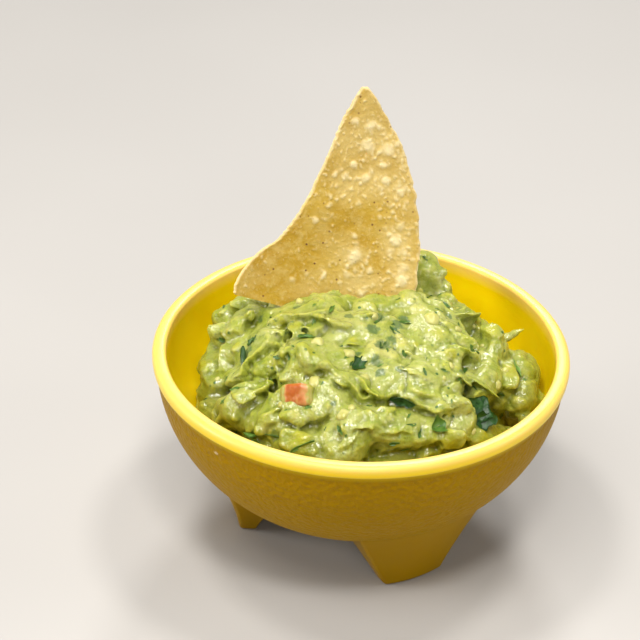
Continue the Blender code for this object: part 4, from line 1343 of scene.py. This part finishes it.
# place from the rim's middle, length, width, lobes, curl, bend, heading, tilt, lift, darkness
LEAVES = (
    ((12.3, -29.3, 3.4), 7.5, 3.2, 2, 0.7, 0.5, -22, 10, 0.3, 0.95),
    ((-0.4, -20.4, 9.1), 5.6, 3.6, 2, 0.9, 0.5, 60, 0, 0.1, 0.95),
    ((21.2, -34.3, -2.3), 5.2, 4.0, 1, 1.6, 0.8, 45, 0, -0.1, 0.5),
    ((32.1, 2.4, 2.6), 3.8, 3.0, 1, 0.6, 0.3, 80, 30, 0.2, 0.85),
    ((-29.5, -32.5, -8.5), 5.5, 1.8, 1, 0.8, 0.4, 10, 40, 0.2, 0.45),
    ((-27.5, -35, -9), 5.0, 1.4, 1, 0.6, 0.5, -50, 60, 0.3, 0.55),
    ((-15.5, -40.5, -5.5), 8.0, 1.2, 1, 0.3, 0.6, 38, 60, 0.2, 0.45),
    ((-23, -35.5, -6), 6.0, 1.0, 1, 0.3, 0.3, -15, 60, 0.2, 0.55),
    ((-5.5, -40.5, 0), 4.0, 1.1, 1, 0.3, 0.2, 80, 10, 0.0, 0.7),
    ((4.5, -2, 12), 5.0, 1.8, 2, 0.4, 0.2, 70, 0, -0.15, 0.75),
    ((6, -12, 10.5), 5.5, 1.4, 1, 0.3, 0.3, 78, 0, -0.15, 0.8),
    ((9.5, -6, 11), 4.2, 1.6, 2, 0.3, 0.3, -40, 0, -0.12, 0.7),
    ((12.5, -1, 11.4), 3.8, 1.8, 1, 0.4, 0.3, 15, 0, -0.1, 0.65),
    ((-33.4, -10, 2.6), 7.0, 1.7, 1, 0.5, 0.5, 58, 20, 0.0, 0.9),
    ((-31, -6, 5), 3.6, 1.2, 1, 0.5, 0.5, 50, 20, 0.0, 0.75),
    ((-24.9, 0.6, 8.3), 5.0, 1.8, 2, 0.5, 0.3, 60, 10, -0.1, 0.7),
    ((-15.5, -9, 10.5), 5.5, 1.8, 1, 0.5, 0.3, 20, 10, 0.0, 0.6),
    ((-12.5, -3.6, 11.5), 3.6, 1.2, 1, 0.3, 0.3, 55, 10, -0.1, 0.65),
    ((-9.5, -0.5, 12.5), 5.6, 1.0, 1, 0.3, 0.3, 72, 10, 0.0, 0.4),
    ((20, 21, 5), 5.0, 2.0, 2, 0.4, 0.3, 10, 0, -0.1, 0.5),
    ((22.4, 12.7, 8.5), 6.0, 2.0, 2, 0.4, 0.3, 5, 0, -0.1, 0.65),
    ((30, 16, 4), 5.0, 2.0, 1, 0.4, 0.3, 10, 0, -0.1, 0.6),
    ((44, 0, -5), 7.0, 1.6, 1, 0.4, 0.4, -50, 10, 0.1, 0.3),
    ((40, -9.5, -7), 3.0, 1.6, 1, 0.4, 0.2, 60, 0, 0.0, 0.8),
    ((29, -4, 4), 4.5, 1.4, 1, 0.4, 0.2, 80, 0, 0.0, 0.75),
    ((29.5, -11, 3), 3.4, 1.2, 1, 0.4, 0.2, 80, 0, 0.0, 0.7),
    ((-38, 6, 0), 3.6, 1.4, 1, 0.4, 0.2, 30, 0, 0.0, 0.65),
    ((-18, -16, 7.5), 2.4, 1.0, 1, 0.3, 0.2, 50, 0, 0.0, 0.7),
    ((12, -15, 9), 2.6, 1.0, 1, 0.3, 0.2, 70, 0, 0.0, 0.6),
    ((17, -21, 6), 2.4, 0.9, 1, 0.3, 0.2, -60, 0, 0.0, 0.6),
    ((10, -40, -4), 3.0, 1.0, 1, 0.3, 0.2, -60, 0, 0.0, 0.6),
)


# The big leaf folded into the cleft at the front right: two lobes that face outwards, not along the
# skin. Place, length, width, heading, lift
CLEFT_LEAVES = (((32.8, -23.5, -3.2), 11.0, 7.5, 76, 1.8), ((34.5, -24.5, -6.5), 7.5, 4.8, 20, 2.0))
CLEFT_FACING = np.array((0.10, -0.82, 0.56))


def place_flat(part, centre, normal, heading, tilt, lift):
    points, faces = part
    axes = axes_on(normal, heading)
    t = math.radians(tilt)
    along, across, out = axes
    tipped = np.array((along, across * math.cos(t) + out * math.sin(t), out * math.cos(t) - across * math.sin(t)))
    return points @ tipped + centre + normal * lift, faces


def build_leaves(material):
    rng = np.random.default_rng(81)
    placed, shade = [], []
    for seed, (place, length, width, lobes, curl, bend, heading, tilt, lift, dark) in enumerate(LEAVES):
        centre, normal = on_skin(place)
        part = place_flat(leaf(length, width, lobes, curl, bend, 300 + seed), centre, normal, heading, tilt, lift)
        placed.append(part)
        shade.append(np.full(len(part[0]), dark))
    for seed, (place, length, width, heading, lift) in enumerate(CLEFT_LEAVES):
        part = leaf(length, width, 2, 1.0, -0.8, 360 + seed)
        part = place_flat(part, on_skin(place)[0], CLEFT_FACING, heading, 0, lift)
        placed.append(part)
        shade.append(np.full(len(part[0]), 0.97))
    centres, normals, picks = skin_samples(heap_mesh, 100, 83, RIM_LEVEL + FILL_LEVEL + 4.0)
    for k in range(len(centres)):
        length = picks.uniform(1.2, 2.2) if k % 3 else picks.uniform(2.2, 3.6)
        part = leaf(length, length * picks.uniform(0.2, 0.5), 1, 0.15, 0.1, 400 + k, columns=9, rows=5)
        part = place_flat(part, centres[k], normals[k], picks.uniform(0, 180), picks.uniform(-25, 25), -0.06)
        placed.append(part)
        shade.append(np.full(len(part[0]), picks.uniform(0.35, 0.8)))
    points, faces = joined(placed)
    leaves = make_object("cilantro_leaves", points, faces, material, {"darkness": np.concatenate(shade)})
    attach(leaves, "root")
    return leaves


def make_leaf_green():
    material, tree, shader = new_material("cilantro_leaf")
    place = object_place(tree)
    dark = attribute(tree, "darkness")
    light, vein = mottled(tree, place, 900.0, (0.10, 0.22, 0.020, 1), (0.19, 0.32, 0.04, 1), Detail=3.0)
    deep, _ = mottled(tree, place, 900.0, (0.006, 0.032, 0.005, 1), (0.018, 0.075, 0.012, 1), Detail=3.0)
    connect(tree, mixed(tree, dark, light, deep), shader, "Base Color")
    connect(tree, mapped(tree, vein, 0.3, 0.7, 0.26, 0.46), shader, "Roughness")
    connect(tree, bump(tree, vein, 0.0004, 0.6), shader, "Normal")
    shader.inputs["Specular IOR Level"].default_value = 0.35
    return material


leaves = build_leaves(make_leaf_green())
print("leaf faces:", len(leaves.data.polygons))

# %% [markdown]
# ## Pale bits
# Bits of firm avocado and onion stand out as small cream cubes with rounded corners.

# %% Cream bits
# place from the rim's middle, and size
BITS = (
    ((-2.8, -17.2, 10.6), 4.0),
    ((1.4, -24.1, 7.0), 3.6),
    ((-12, -26.3, 5.6), 3.6),
    ((19.7, 1.4, 10.4), 4.2),
    ((24.8, -16, 5.7), 2.6),
    ((-4.3, -37.1, 2.9), 3.6),
    ((-2, -34.5, 3.5), 3.0),
    ((-18, 7, 12), 2.4),
    ((2.8, -1.6, 12.2), 2.8),
    ((26.7, 0.6, 7.1), 3.0),
    ((-12, -14, 9.5), 4.0),
    ((41.5, -4, -4), 3.0),
    ((38.9, -11.5, -2.5), 2.6),
    ((31, -29.6, -6.5), 2.4),
    ((36, 13, 2), 2.4),
)


def make_cream():
    material, tree, shader = new_material("pale_avocado")
    place = object_place(tree)
    cream, white = (0.43, 0.41, 0.09, 1), (0.53, 0.50, 0.18, 1)
    colour, grain = mottled(tree, place, 400.0, cream, white, Low=0.3, High=0.7, Detail=3.0)
    connect(tree, colour, shader, "Base Color")
    connect(tree, mapped(tree, grain, 0.3, 0.7, 0.22, 0.40), shader, "Roughness")
    connect(tree, bump(tree, grain, 0.0003, 0.5), shader, "Normal")
    shader.inputs["Subsurface Weight"].default_value = 0.4
    shader.inputs["Subsurface Radius"].default_value = (1.0, 0.9, 0.4)
    shader.inputs["Subsurface Scale"].default_value = 0.002
    return material


def build_bits(material):
    placed = []
    rng = np.random.default_rng(91)
    rows = [(on_skin(place), size) for place, size in BITS]
    centres, normals, _ = skin_samples(heap_mesh, 14, 93, RIM_LEVEL + FILL_LEVEL + 6.0)
    rows += [((c, n), rng.uniform(1.0, 2.2)) for c, n in zip(centres, normals)]
    for k, ((centre, normal), size) in enumerate(rows):
        sizes = size / 2 * rng.uniform(0.75, 1.15, 3)
        axes = axes_on(normal, rng.uniform(0, 180))
        placed.append(lump(centre - normal * size * 0.26, sizes, axes, 2.7, size * 0.16, 500 + k, ball=3, wavelength=1.8))
    bits = make_object("pale_bits", *joined(placed), material)
    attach(bits, "root")
    return bits


bits = build_bits(make_cream())
print("bit faces:", len(bits.data.polygons))

# %% [markdown]
# ## Floor, light and camera
# A pale floor and a large soft light from above and a little behind, as in a room with a bright
# ceiling. The front of the bowl is then in its own shade. A weak wide light fills the front.
#
# The camera stands far back and sees the bowl through a long lens, from 33 degrees above the table.

# %% Floor and lights
def floor_material():
    material, tree, shader = new_material("floor_paint")
    place = object_place(tree)
    grey, pale = (0.42, 0.40, 0.375, 1), (0.46, 0.44, 0.415, 1)
    colour, cloud = mottled(tree, place, 3.0, grey, pale, Low=0.3, High=0.7, Detail=3.0)
    connect(tree, colour, shader, "Base Color")
    connect(tree, mapped(tree, cloud, 0.3, 0.7, 0.5, 0.6), shader, "Roughness")
    return material


floor = make_object("floor", [(-1500, -1500, 0), (1500, -1500, 0), (1500, 1500, 0), (-1500, 1500, 0)], [(0, 1, 2, 3)], floor_material())


def area_light(name, place, target, size, power, colour=(1, 1, 1)):
    light = bpy.data.lights.new(name, "AREA")
    light.shape = "DISK"
    light.size = size
    light.energy = power
    light.color = colour
    obj = bpy.data.objects.new(name, light)
    obj.location = place
    obj.rotation_euler = (Vector(target) - Vector(place)).to_track_quat("-Z", "Y").to_euler()
    bpy.context.scene.collection.objects.link(obj)
    return obj


area_light("ceiling", (-0.20, -0.45, 1.10), (0, 0, 0.04), 0.60, 6.5, (1.0, 0.985, 0.96))
area_light("lamp_left", (-0.30, 0.05, 1.10), (0, 0, 0.05), 0.20, 4.2, (1.0, 0.98, 0.95))
area_light("lamp_right", (0.26, 0.14, 1.10), (0, 0, 0.05), 0.20, 4.2, (1.0, 0.98, 0.95))
area_light("lamp_front", (0.06, -0.50, 1.05), (0, 0, 0.05), 0.20, 4.2, (1.0, 0.98, 0.95))
area_light("lamp_behind", (0.05, 0.80, 0.75), (0, 0, 0.06), 0.22, 3.6, (1.0, 0.99, 0.97))
area_light("room_front", (0.10, -1.05, 0.50), (0, 0, 0.06), 0.60, 2.4, (1.0, 0.99, 0.97))
area_light("window_left", (-0.85, -0.15, 0.42), (0, 0, 0.04), 0.35, 3.8, (1.0, 0.99, 0.97))
area_light("window_right", (0.85, -0.10, 0.42), (0, 0, 0.04), 0.35, 2.0, (1.0, 0.99, 0.97))
world = bpy.data.worlds.new("room")
world.use_nodes = True
world.node_tree.nodes["Background"].inputs["Color"].default_value = (0.95, 0.97, 1.0, 1)
world.node_tree.nodes["Background"].inputs["Strength"].default_value = 0.12
bpy.context.scene.world = world
bpy.context.scene.view_settings.view_transform = "Standard"

# %% Camera
RIGHT = Vector((0.99919342, 0.03416143, 0.02110696))
UP = Vector((-0.03611648, 0.53476073, 0.84423134))
LOOK = Vector((-0.01755298, 0.84431271, -0.53556319))
camera = bpy.data.objects.new("camera", bpy.data.cameras.new("camera"))
camera.data.lens = 135.0
camera.data.sensor_width = 36.0
camera.matrix_world = Matrix((RIGHT, UP, -LOOK)).transposed().to_4x4()
camera.location = (0.0, -0.57861, 0.43542)
bpy.context.scene.collection.objects.link(camera)
bpy.context.scene.camera = camera
